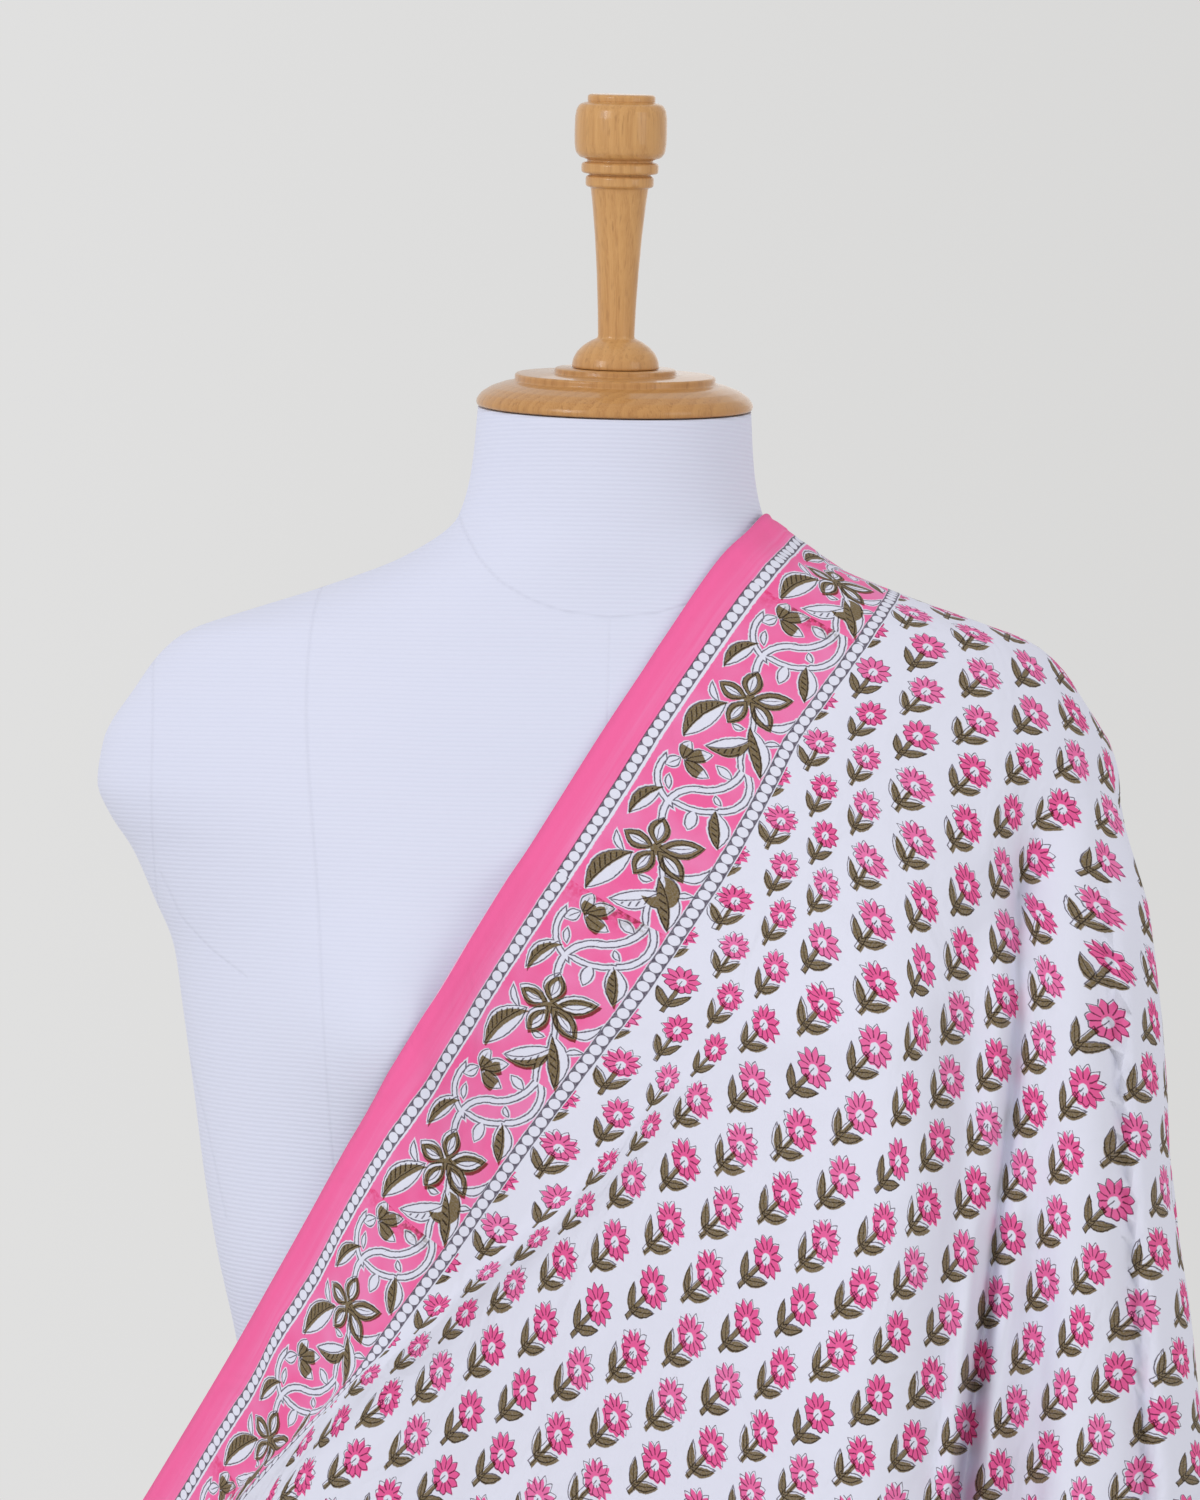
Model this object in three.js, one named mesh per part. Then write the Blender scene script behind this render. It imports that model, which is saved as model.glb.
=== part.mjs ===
import * as THREE from "three";

// A sarong draped over one shoulder of a dress form, with its far edge drawn down to the other hip.
// Millimetres, +Z up. The floor is z = 0, the form faces -Y, and the draped shoulder is at +X.
// The cloth is one rectangle. It is laid over the shoulder at half its length, its printed long edge goes in a
// straight line from the neck to the hip in front and behind, and the rest falls under its own weight.

// ---------- cloth ----------
const CLOTH_LENGTH = 1800;
const CLOTH_WIDTH = 1110;
const SHEET = 1.5; // thickness with its turned hem
const CELL = 30; // spacing of the threads that are kept in the faceted sheet
const FINE = 2; // threads solved between two kept ones
const STAND_OFF = 4.6; // from the form to the middle of the sheet
const FACET_CLEAR = 3.2; // least distance from the form to the middle of any flat facet
const LAYER_GAP = 11; // least distance between two layers of the cloth
const PART_GAP = 5; // from the middle plane to the front and to the back, away from the shoulder

// ---------- how it is laid ----------
const NECK_POINT = { x: 59, z: 1501.5 }; // where the printed edge crosses the shoulder, next to the neck
const EDGE_SLOPE = 31; // degrees from the vertical of the printed edge, seen from the front
// How far the printed edge bows out of that straight line, away from the cloth: distance down the line, and bow.
const EDGE_BOW = [
  { down: 0, out: 0 },
  { down: 6, out: 3.2 },
  { down: 14, out: 5.4 },
  { down: 24, out: 6.9 },
  { down: 42, out: 8.2 },
  { down: 75, out: 9.4 },
  { down: 110, out: 9.9 },
  { down: 165, out: 9.9 },
  { down: 214, out: 9.4 },
  { down: 250, out: 8.4 },
  { down: 284, out: 7 },
  { down: 319, out: 5 },
  { down: 354, out: 3.2 },
  { down: 390, out: 1.8 },
  { down: 440, out: 0.8 },
  { down: 540, out: 0 },
];
const EDGE_CELLS = 18; // cells of the printed edge from the shoulder to the hip, where front and back are pinned
// The outermost line of the cloth at the arm side, seen from the front: height and distance from the middle.
const OUTLINE = [
  { z: 1392, x: 203 },
  { z: 1361, x: 207 },
  { z: 1314, x: 212.5 },
  { z: 1270, x: 219 },
  { z: 1211, x: 228 },
  { z: 1168, x: 234 },
  { z: 1000, x: 258 },
  { z: 105, x: 362 },
];
const PIN_GAP = 1.6; // from the middle plane to each of the two edges where they are pinned
const SHOULDER_HOLD = 95; // width of cloth that the shoulder holds by friction

// ---------- dress form ----------
// Horizontal sections: height, half width, depth to the front and to the back of the centre, centre in Y.
const SECTIONS = [
  { z: 840, half: 160, front: 98, back: 112, y: 2 },
  { z: 880, half: 168, front: 103, back: 120, y: 3 },
  { z: 940, half: 173, front: 105, back: 126, y: 4 },
  { z: 1000, half: 166, front: 102, back: 116, y: 4 },
  { z: 1060, half: 144, front: 96, back: 96, y: 3 },
  { z: 1125, half: 127, front: 92, back: 82, y: 1 },
  { z: 1182, half: 137, front: 94, back: 86, y: 0 },
  { z: 1215, half: 145, front: 97, back: 92, y: 0 },
  { z: 1246, half: 151, front: 98, back: 97, y: 1 },
  { z: 1276, half: 155.5, front: 99, back: 101, y: 2 },
  { z: 1310, half: 161, front: 100, back: 104, y: 4 },
  { z: 1333, half: 165, front: 99, back: 105, y: 5 },
  { z: 1351, half: 173, front: 97, back: 104, y: 6 },
  { z: 1370, half: 182, front: 95, back: 102, y: 6 },
  { z: 1383, half: 191, front: 92, back: 99, y: 6 },
  { z: 1395, half: 196, front: 89, back: 96, y: 6 },
  { z: 1411, half: 194, front: 85, back: 91, y: 6 },
  { z: 1432, half: 182, front: 78, back: 82, y: 6 },
  { z: 1446, half: 172, front: 72, back: 74, y: 5 },
  { z: 1454, half: 162, front: 69, back: 70, y: 4 },
  { z: 1462, half: 140, front: 66, back: 66, y: 3 },
  { z: 1472, half: 110, front: 63, back: 62, y: 1 },
  { z: 1485, half: 78, front: 60, back: 59, y: -2 },
  { z: 1500, half: 59, front: 57, back: 56, y: -5 },
  { z: 1520, half: 54, front: 54, back: 54, y: -9 },
  { z: 1542, half: 52.2, front: 52.2, back: 52.2, y: -13.4 },
];
const BUST = { x: 88, z: 1305, wide: 58, high: 62, depth: 34 };
const NECK_TILT = 8; // degrees that the top of the neck leans forward
const TILT_FROM = 1480;
const BODY_SIDES = 40;
const TURN_SIDES = 28; // sides of every turned piece
const GAP = 0.3;

const POLE_RADIUS = 16;
const BASE_RADIUS = 190;
const BASE_HEIGHT = 22;

// Turned profiles: radius and height above the seat of the neck cap.
const CAP_PROFILE = [
  { r: 50.8, h: 0 },
  { r: 52.6, h: 0.5 },
  { r: 53, h: 1.6 },
  { r: 52.7, h: 3 },
  { r: 51, h: 5.2 },
  { r: 47.5, h: 7.4 },
  { r: 43, h: 9 },
  { r: 39.4, h: 9.8 },
  { r: 38.4, h: 10.3 },
  { r: 38.4, h: 12.2 },
  { r: 37.8, h: 12.8 },
  { r: 23.4, h: 13 },
  { r: 23.2, h: 14.8 },
  { r: 22.6, h: 15.2 },
];
const FINIAL_PROFILE = [
  { r: 16.6, h: 0 },
  { r: 16.7, h: 1 },
  { r: 16.2, h: 3.4 },
  { r: 14.8, h: 6 },
  { r: 12.4, h: 8.4 },
  { r: 9.6, h: 10.2 },
  { r: 7.3, h: 11.2 },
  { r: 7, h: 12 },
  { r: 7.3, h: 22 },
  { r: 8, h: 36 },
  { r: 9, h: 50 },
  { r: 10.2, h: 62 },
  { r: 11, h: 68.4 },
  { r: 12.4, h: 68.7 },
  { r: 13, h: 69.4 },
  { r: 13, h: 72.2 },
  { r: 12.4, h: 72.9 },
  { r: 11.8, h: 73.1 },
  { r: 11.8, h: 73.6 },
  { r: 14, h: 73.8 },
  { r: 14.7, h: 74.5 },
  { r: 14.7, h: 77.2 },
  { r: 14, h: 78 },
  { r: 12.6, h: 78.2 },
  { r: 12.6, h: 79 },
  { r: 13.2, h: 79.2 },
  { r: 15.6, h: 80 },
  { r: 17, h: 81.8 },
  { r: 17.5, h: 85 },
  { r: 17.6, h: 90 },
  { r: 17.5, h: 95 },
  { r: 17, h: 98 },
  { r: 15.8, h: 99.9 },
  { r: 13.6, h: 100.6 },
  { r: 12.7, h: 100.8 },
  { r: 12.9, h: 101.3 },
  { r: 12.9, h: 102.8 },
  { r: 12.5, h: 103.4 },
  { r: 11.8, h: 103.7 },
];

const clamp = (v, a, b) => Math.min(b, Math.max(a, v));
const rad = (degrees) => (degrees * Math.PI) / 180;

// ---------- the form's surface ----------
// A smooth curve through the table's rows, sampled every SECTION_STEP of height.
const SECTION_STEP = 2.5;
function sampled(key) {
  const n = SECTIONS.length;
  const z = SECTIONS.map((row) => row.z);
  const v = SECTIONS.map((row) => row[key]);
  const h = [],
    d = [];
  for (let i = 0; i < n - 1; i++) {
    h.push(z[i + 1] - z[i]);
    d.push((v[i + 1] - v[i]) / h[i]);
  }
  const m = [d[0]];
  for (let i = 1; i < n - 1; i++) {
    const a = 2 * h[i] + h[i - 1],
      b = h[i] + 2 * h[i - 1];
    m.push(d[i - 1] * d[i] <= 0 ? 0 : (a + b) / (a / d[i - 1] + b / d[i]));
  }
  m.push(d[n - 2]);
  const out = [];
  const count = Math.round((z[n - 1] - z[0]) / SECTION_STEP) + 1;
  for (let q = 0, k = 0; q < count; q++) {
    const at = z[0] + q * SECTION_STEP;
    while (k < n - 2 && at >= z[k + 1]) k++;
    const t = (at - z[k]) / h[k],
      t2 = t * t,
      t3 = t2 * t;
    out.push(
      (2 * t3 - 3 * t2 + 1) * v[k] +
        (t3 - 2 * t2 + t) * h[k] * m[k] +
        (-2 * t3 + 3 * t2) * v[k + 1] +
        (t3 - t2) * h[k] * m[k + 1],
    );
  }
  return out;
}
const HALF = sampled("half"),
  FRONT = sampled("front"),
  BACK = sampled("back"),
  CENTRE = sampled("y");
const FORM_FOOT = SECTIONS[0].z,
  FORM_TOP = SECTIONS[SECTIONS.length - 1].z;

function sectionAt(z) {
  const t = clamp((z - FORM_FOOT) / SECTION_STEP, 0, HALF.length - 1.0001);
  const k = Math.floor(t),
    f = t - k;
  const mix = (a) => a[k] + (a[k + 1] - a[k]) * f;
  const rise = (a) => (a[k + 1] - a[k]) / SECTION_STEP;
  return {
    half: mix(HALF),
    front: mix(FRONT),
    back: mix(BACK),
    y: mix(CENTRE),
    dHalf: rise(HALF),
    dFront: rise(FRONT),
    dBack: rise(BACK),
    dY: rise(CENTRE),
  };
}

function bustAt(x, z) {
  const u = (Math.abs(x) - BUST.x) / BUST.wide,
    v = (z - BUST.z) / BUST.high;
  const g = 1 / (1 + u * u + v * v);
  const slope = -3 * BUST.depth * g * g * g * g;
  return {
    depth: BUST.depth * g * g * g,
    dx: ((slope * 2 * u) / BUST.wide) * (x < 0 ? -1 : 1),
    dz: (slope * 2 * v) / BUST.high,
  };
}

// Distance outside the form, to first order, and the direction straight out of it.
const out = { d: 0, x: 0, y: 0, z: 0 };
function outside(x, y, z) {
  const s = sectionAt(z);
  const back = y >= s.y;
  const b = back ? { depth: 0, dx: 0, dz: 0 } : bustAt(x, z);
  const depth = back ? s.back : s.front + b.depth;
  const slope = back ? s.dBack : s.dFront + b.dz;
  const u = x / s.half,
    v = (y - s.y) / depth;
  const q = Math.sqrt(u * u + v * v) + 1e-9;
  const gx = (u / s.half - (v * v * b.dx) / depth) / q;
  const gy = v / depth / q;
  const gz =
    (-(u * u * s.dHalf) / s.half - (v * s.dY) / depth - (v * v * slope) / depth) /
    q;
  const g = Math.sqrt(gx * gx + gy * gy + gz * gz) + 1e-12;
  out.d = (q - 1) / g;
  out.x = gx / g;
  out.y = gy / g;
  out.z = gz / g;
  return out;
}

// ---------- the printed edge ----------
// Seen from the front it is one slightly bowed line from the neck point. Side -1 runs over the chest and +1 over the back:
// along the form where that is convex, and then freely to the hip, like a tight string.
const DOWN = { x: -Math.sin(rad(EDGE_SLOPE)), z: -Math.cos(rad(EDGE_SLOPE)) };
function bowAt(t) {
  let k = 0;
  while (k < EDGE_BOW.length - 2 && EDGE_BOW[k + 1].down < t) k++;
  const a = EDGE_BOW[k],
    b = EDGE_BOW[k + 1];
  return a.out + (b.out - a.out) * clamp((t - a.down) / (b.down - a.down), 0, 1);
}
const edgeX = (t) => NECK_POINT.x + t * DOWN.x + bowAt(t) * DOWN.z;
const edgeZ = (t) => NECK_POINT.z + t * DOWN.z - bowAt(t) * DOWN.x;
function edgeString(side, reach) {
  const pts = [];
  const step = 2;
  for (let t = -12; t < reach; t += step) {
    const x = edgeX(t),
      z = edgeZ(t);
    const s = sectionAt(z);
    if (Math.abs(x) >= s.half) continue;
    const root = Math.sqrt(1 - (x / s.half) * (x / s.half));
    const depth = side < 0 ? s.front + bustAt(x, z).depth : s.back;
    pts.push({ t, h: depth * root + side * s.y });
  }
  const raised = pts.map((p) => {
    // out from the surface by the stand-off, within the plane of the string
    const x = edgeX(p.t),
      z = edgeZ(p.t);
    const o = outside(x, side * p.h, z);
    const along = o.x * DOWN.x + o.z * DOWN.z;
    return { t: p.t + along * STAND_OFF, h: p.h + side * o.y * STAND_OFF };
  });
  const top = { t: raised[0].t - 1.5, h: side * sectionAt(NECK_POINT.z).y };
  const all = [top, ...raised, { t: reach, h: PIN_GAP }];
  const hull = [];
  for (const p of all) {
    while (hull.length > 1) {
      const a = hull[hull.length - 2],
        b = hull[hull.length - 1];
      if ((b.t - a.t) * (p.h - a.h) - (b.h - a.h) * (p.t - a.t) < 0) break;
      hull.pop();
    }
    hull.push(p);
  }
  let length = 0;
  const run = [0];
  for (let i = 1; i < hull.length; i++) {
    length += Math.hypot(
      hull[i].t - hull[i - 1].t,
      hull[i].h - hull[i - 1].h,
      bowAt(hull[i].t) - bowAt(hull[i - 1].t),
    );
    run.push(length);
  }
  return { hull, run, length };
}
function edgePath(side) {
  const wanted = EDGE_CELLS * CELL;
  let a = 380,
    b = 700;
  for (let i = 0; i < 40; i++) {
    const mid = (a + b) / 2;
    if (edgeString(side, mid).length < wanted) a = mid;
    else b = mid;
  }
  const { hull, run } = edgeString(side, a);
  return (distance) => {
    let k = 0;
    while (k < run.length - 2 && run[k + 1] < distance) k++;
    const f = (distance - run[k]) / (run[k + 1] - run[k]);
    const t = hull[k].t + (hull[k + 1].t - hull[k].t) * f,
      h = hull[k].h + (hull[k + 1].h - hull[k].h) * f;
    return [edgeX(t), side * h, edgeZ(t)];
  };
}

// The top of the shoulder, from the neck outwards.
function ridgePath() {
  const pts = [];
  for (let z = 1512; z > 1400; z -= 0.5) {
    const s = sectionAt(z);
    const o = outside(s.half, s.y, z);
    pts.push([s.half + o.x * STAND_OFF, s.y, z + o.z * STAND_OFF]);
  }
  let from = 0;
  while (pts[from][2] > NECK_POINT.z) from++;
  return (distance) => {
    let k = from,
      left = distance;
    for (; k < pts.length - 2; k++) {
      const d = Math.hypot(pts[k + 1][0] - pts[k][0], pts[k + 1][2] - pts[k][2]);
      if (left <= d) break;
      left -= d;
    }
    const d = Math.hypot(pts[k + 1][0] - pts[k][0], pts[k + 1][2] - pts[k][2]);
    return pts[k].map((v, i) => v + ((pts[k + 1][i] - v) * left) / d);
  };
}

// ---------- how the cloth falls ----------
class Cloth {
  constructor(cell) {
    this.cell = cell;
    this.rows = Math.round(CLOTH_LENGTH / cell) + 1; // along the length, front end last
    this.cols = Math.round(CLOTH_WIDTH / cell) + 1; // across, printed edge first
    const n = this.rows * this.cols;
    this.p = [0, 1, 2].map(() => new Float64Array(n));
    this.q = [0, 1, 2].map(() => new Float64Array(n));
    this.v = [0, 1, 2].map(() => new Float64Array(n));
    this.free = new Float64Array(n).fill(1);
    this.links = this.linkList();
  }
  at(i, j) {
    return i * this.cols + j;
  }
  linkList() {
    const a = [],
      b = [],
      rest = [],
      kind = [];
    const add = (di, dj, k) => {
      const length = Math.hypot(di, dj) * this.cell;
      for (let i = 0; i < this.rows; i++)
        for (let j = 0; j < this.cols; j++) {
          const i2 = i + di,
            j2 = j + dj;
          if (i2 >= this.rows || j2 >= this.cols || j2 < 0) continue;
          a.push(this.at(i, j));
          b.push(this.at(i2, j2));
          rest.push(length);
          kind.push(k);
        }
    };
    add(1, 0, 0);
    add(0, 1, 0);
    add(1, 1, 1);
    add(1, -1, 1);
    add(2, 0, 2);
    add(0, 2, 2);
    return {
      a: Int32Array.from(a),
      b: Int32Array.from(b),
      rest: Float64Array.from(rest),
      kind: Uint8Array.from(kind),
    };
  }
  pull(soft) {
    const { a, b, rest, kind } = this.links;
    const [px, py, pz] = this.p;
    for (let e = 0; e < a.length; e++) {
      const i = a[e],
        j = b[e];
      const wi = this.free[i],
        wj = this.free[j];
      if (wi + wj === 0) continue;
      const dx = px[j] - px[i],
        dy = py[j] - py[i],
        dz = pz[j] - pz[i];
      const l = Math.sqrt(dx * dx + dy * dy + dz * dz);
      const over = l - rest[e];
      if (kind[e] === 2 && over > 0) continue;
      const c = over / ((wi + wj + soft[kind[e]]) * l);
      px[i] += wi * c * dx;
      py[i] += wi * c * dy;
      pz[i] += wi * c * dz;
      px[j] -= wj * c * dx;
      py[j] -= wj * c * dy;
      pz[j] -= wj * c * dz;
    }
  }
  // The form holds the cloth off, and rubs on it.
  rest(gap, grip) {
    const [px, py, pz] = this.p;
    const [qx, qy, qz] = this.q;
    for (let k = 0; k < px.length; k++) {
      if (!this.free[k] || pz[k] > FORM_TOP) continue;
      if (Math.abs(px[k]) > 215 || Math.abs(py[k]) > 165) continue;
      if (pz[k] < FORM_FOOT - 10) {
        const r = Math.hypot(px[k], py[k]),
          least = POLE_RADIUS + gap;
        if (r >= least) continue;
        const side = k >= ((this.rows - 1) / 2) * this.cols ? -1 : 1;
        py[k] = side * Math.sqrt(least * least - px[k] * px[k]);
        continue;
      }
      const o = outside(px[k], py[k], pz[k]);
      const deep = gap - o.d;
      if (deep <= 0) continue;
      px[k] += o.x * deep;
      py[k] += o.y * deep;
      pz[k] += o.z * deep;
      let dx = px[k] - qx[k],
        dy = py[k] - qy[k],
        dz = pz[k] - qz[k];
      const n = dx * o.x + dy * o.y + dz * o.z;
      dx -= n * o.x;
      dy -= n * o.y;
      dz -= n * o.z;
      const slip = Math.sqrt(dx * dx + dy * dy + dz * dz) + 1e-9;
      const f = Math.min(grip * deep, slip) / slip;
      px[k] -= dx * f;
      py[k] -= dy * f;
      pz[k] -= dz * f;
    }
  }
  // The front stays before the middle plane and the back behind it.
  part(gap) {
    const middle = (this.rows - 1) / 2;
    const y = this.p[1];
    for (let i = 0; i < this.rows; i++) {
      const reach = Math.abs(i - middle) * this.cell;
      if (reach < 60 || i === middle) continue;
      const least = Math.min(gap, (reach - 60) * 0.2);
      for (let j = 0; j < this.cols; j++) {
        const k = this.at(i, j);
        if (!this.free[k]) continue;
        if (i > middle) y[k] = Math.min(y[k], -least);
        else y[k] = Math.max(y[k], least);
      }
    }
  }
  // At the arm side the cloth hangs no further out than its outline.
  within() {
    const [px, , pz] = this.p;
    for (let k = 0; k < px.length; k++) {
      if (!this.free[k] || px[k] < OUTLINE[0].x || pz[k] > OUTLINE[0].z) continue;
      let n = 0;
      while (n < OUTLINE.length - 2 && OUTLINE[n + 1].z > pz[k]) n++;
      const a = OUTLINE[n],
        b = OUTLINE[n + 1];
      const most = a.x + ((b.x - a.x) * (pz[k] - a.z)) / (b.z - a.z);
      if (px[k] > most) px[k] -= Math.min((px[k] - most) * 0.3, 0.15);
    }
  }
  // Two layers of the cloth don't pass through each other.
  layers(gap) {
    const [px, py, pz] = this.p;
    const n = px.length;
    const cells = new Map();
    const key = (x, y, z) => (x + 400) * 1000000 + (y + 400) * 1000 + (z + 10);
    const cx = new Int32Array(n),
      cy = new Int32Array(n),
      cz = new Int32Array(n);
    for (let k = 0; k < n; k++) {
      cx[k] = Math.floor(px[k] / gap);
      cy[k] = Math.floor(py[k] / gap);
      cz[k] = Math.floor(pz[k] / gap);
      const id = key(cx[k], cy[k], cz[k]);
      const list = cells.get(id);
      if (list) list.push(k);
      else cells.set(id, [k]);
    }
    for (let k = 0; k < n; k++) {
      const i = Math.floor(k / this.cols),
        j = k % this.cols;
      for (let x = cx[k] - 1; x <= cx[k] + 1; x++)
        for (let y = cy[k] - 1; y <= cy[k] + 1; y++)
          for (let z = cz[k] - 1; z <= cz[k] + 1; z++) {
            const list = cells.get(key(x, y, z));
            if (!list) continue;
            for (const m of list) {
              if (m <= k) continue;
              const di = Math.floor(m / this.cols) - i,
                dj = (m % this.cols) - j;
              if (di * di + dj * dj < 8) continue;
              const dx = px[m] - px[k],
                dy = py[m] - py[k],
                dz = pz[m] - pz[k];
              const l2 = dx * dx + dy * dy + dz * dz;
              if (l2 >= gap * gap || l2 < 1e-12) continue;
              const wi = this.free[k],
                wj = this.free[m];
              if (wi + wj === 0) continue;
              const l = Math.sqrt(l2);
              const c = (0.5 * (l - gap)) / ((wi + wj) * l);
              px[k] += wi * c * dx;
              py[k] += wi * c * dy;
              pz[k] += wi * c * dz;
              px[m] -= wj * c * dx;
              py[m] -= wj * c * dy;
              pz[m] -= wj * c * dz;
            }
          }
    }
  }
  fall({ seconds, step, passes, drag, soft, grip, gap, apart, narrow, each }) {
    const g = 9810;
    const count = Math.round(seconds / step);
    const s = soft.map((c) => c / (step * step));
    for (let n = 0; n < count; n++) {
      for (let a = 0; a < 3; a++) {
        const p = this.p[a],
          q = this.q[a],
          v = this.v[a];
        for (let k = 0; k < p.length; k++) {
          q[k] = p[k];
          if (!this.free[k]) continue;
          let speed = v[k] * (1 - drag * step);
          if (a === 2) speed -= g * step;
          p[k] += clamp(speed, -2500, 2500) * step;
        }
      }
      if (each) each(n * step);
      for (let m = 0; m < passes; m++) this.pull(s);
      if (apart && n % 2 === 0) this.layers(apart);
      this.part(PART_GAP);
      if (narrow) this.within();
      this.rest(gap, grip);
      for (let a = 0; a < 3; a++) {
        const p = this.p[a],
          q = this.q[a],
          v = this.v[a];
        for (let k = 0; k < p.length; k++) v[k] = (p[k] - q[k]) / step;
      }
    }
  }
  // The same cloth with twice the threads.
  finer() {
    const c = new Cloth(this.cell / 2);
    const between = (get, n, i) => {
      if (i % 2 === 0) return get(i / 2);
      const a = (i - 1) / 2;
      if (a < 1 || a > n - 3) return (get(a) + get(a + 1)) / 2;
      return (9 * (get(a) + get(a + 1)) - get(a - 1) - get(a + 2)) / 16;
    };
    for (let axis = 0; axis < 3; axis++) {
      const p = this.p[axis];
      for (let i = 0; i < c.rows; i++)
        for (let j = 0; j < c.cols; j++)
          c.p[axis][c.at(i, j)] = between(
            (col) => between((row) => p[this.at(row, col)], this.rows, i),
            this.cols,
            j,
          );
    }
    return c;
  }
  // Sets the threads that are held: the printed edge between the two hips, and the shoulder.
  hold(paths, amount, start) {
    const middle = (this.rows - 1) / 2;
    for (let i = 0; i < this.rows; i++) {
      const reach = Math.abs(i - middle) * this.cell;
      if (reach > EDGE_CELLS * CELL + 1) continue;
      const path = i >= middle ? paths.front : paths.back;
      this.place(this.at(i, 0), path(reach), amount, start);
    }
    for (let j = 1; j < this.cols && j * this.cell <= SHOULDER_HOLD; j++)
      this.place(this.at(middle, j), paths.ridge(j * this.cell), amount, start);
  }
  place(k, to, amount, start) {
    this.free[k] = 0;
    for (let a = 0; a < 3; a++) {
      const from = start ? start[a][k] : to[a];
      this.p[a][k] = from + (to[a] - from) * amount;
    }
  }
}

function drape() {
  const paths = {
    front: edgePath(-1),
    back: edgePath(1),
    ridge: ridgePath(),
  };
  const coarse = new Cloth(CELL);
  const middle = (coarse.rows - 1) / 2;
  const across = { x: -DOWN.z, z: DOWN.x }; // across the cloth, down over the arm
  for (let i = 0; i < coarse.rows; i++)
    for (let j = 0; j < coarse.cols; j++) {
      const l = (i - middle) * CELL,
        w = j * CELL,
        k = coarse.at(i, j),
        a = Math.abs(l);
      coarse.p[0][k] = NECK_POINT.x + w * across.x + a * DOWN.x;
      coarse.p[1][k] = -Math.sign(l) * 170 * (1 - Math.exp(-a / 120));
      coarse.p[2][k] = NECK_POINT.z + 12 + w * across.z + a * DOWN.z;
    }
  const start = coarse.p.map((p) => p.slice());
  const soft = [0, 2e-6, 2e-4]; // along the threads, across the weave, in bending
  coarse.fall({
    seconds: 0.9,
    step: 1 / 500,
    passes: 3,
    drag: 2,
    soft,
    grip: 0.1,
    gap: STAND_OFF,
    apart: CELL * 0.7,
    each: (t) => coarse.hold(paths, Math.min(1, t / 0.5), start),
  });
  coarse.fall({
    seconds: 1.6,
    step: 1 / 500,
    passes: 4,
    drag: 3,
    soft,
    grip: 0.3,
    gap: STAND_OFF,
    apart: CELL * 0.7,
    narrow: true,
  });
  let cloth = coarse;
  for (let f = FINE; f > 1; f /= 2) {
    cloth = cloth.finer();
    cloth.hold(paths, 1, null);
    cloth.fall({
      seconds: 1.0,
      step: 1 / 700,
      passes: 5,
      drag: 4,
      soft,
      grip: 0.4,
      gap: STAND_OFF,
      apart: LAYER_GAP,
      narrow: true,
    });
  }
  return cloth;
}

// ---------- solids ----------
function geometry(points, faces) {
  const g = new THREE.BufferGeometry();
  g.setAttribute(
    "position",
    new THREE.BufferAttribute(Float32Array.from(points.flat()), 3),
  );
  g.setIndex(faces.flat());
  g.computeVertexNormals();
  return g;
}

// The kept thread crossings, moved out where a flat facet between them would come too near the form.
function keptThreads(cloth) {
  const keep = Math.round(CELL / cloth.cell);
  const kept = new Cloth(CELL);
  const [px, py, pz] = kept.p;
  for (let i = 0; i < kept.rows; i++)
    for (let j = 0; j < kept.cols; j++)
      for (let a = 0; a < 3; a++)
        kept.p[a][kept.at(i, j)] = cloth.p[a][cloth.at(i * keep, j * keep)];
  const corners = [];
  for (let i = 0; i < kept.rows - 1; i++)
    for (let j = 0; j < kept.cols - 1; j++)
      corners.push(
        [kept.at(i, j), kept.at(i + 1, j), kept.at(i + 1, j + 1)],
        [kept.at(i, j), kept.at(i + 1, j + 1), kept.at(i, j + 1)],
        [kept.at(i + 1, j), kept.at(i + 1, j + 1), kept.at(i, j + 1)],
        [kept.at(i, j), kept.at(i + 1, j), kept.at(i, j + 1)],
      );
  const shares = [
    [1 / 3, 1 / 3, 1 / 3],
    [0.5, 0.5, 0],
    [0, 0.5, 0.5],
    [0.5, 0, 0.5],
    [1, 0, 0],
  ];
  for (let pass = 0; pass < 60; pass++) {
    let worst = 0;
    for (const tri of corners)
      for (const f of shares) {
        const sum = (v) => f[0] * v[tri[0]] + f[1] * v[tri[1]] + f[2] * v[tri[2]];
        const x = sum(px),
          y = sum(py),
          z = sum(pz);
        if (z < FORM_FOOT - 12 || z > FORM_TOP) continue;
        const o = outside(x, y, z);
        const lack = FACET_CLEAR - o.d;
        if (lack <= 0 || lack > 40) continue;
        worst = Math.max(worst, lack);
        tri.forEach((k, m) => {
          if (!f[m]) return;
          px[k] += o.x * lack * 0.6;
          py[k] += o.y * lack * 0.6;
          pz[k] += o.z * lack * 0.6;
        });
      }
    if (worst < 0.05) break;
  }
  return kept;
}

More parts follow.
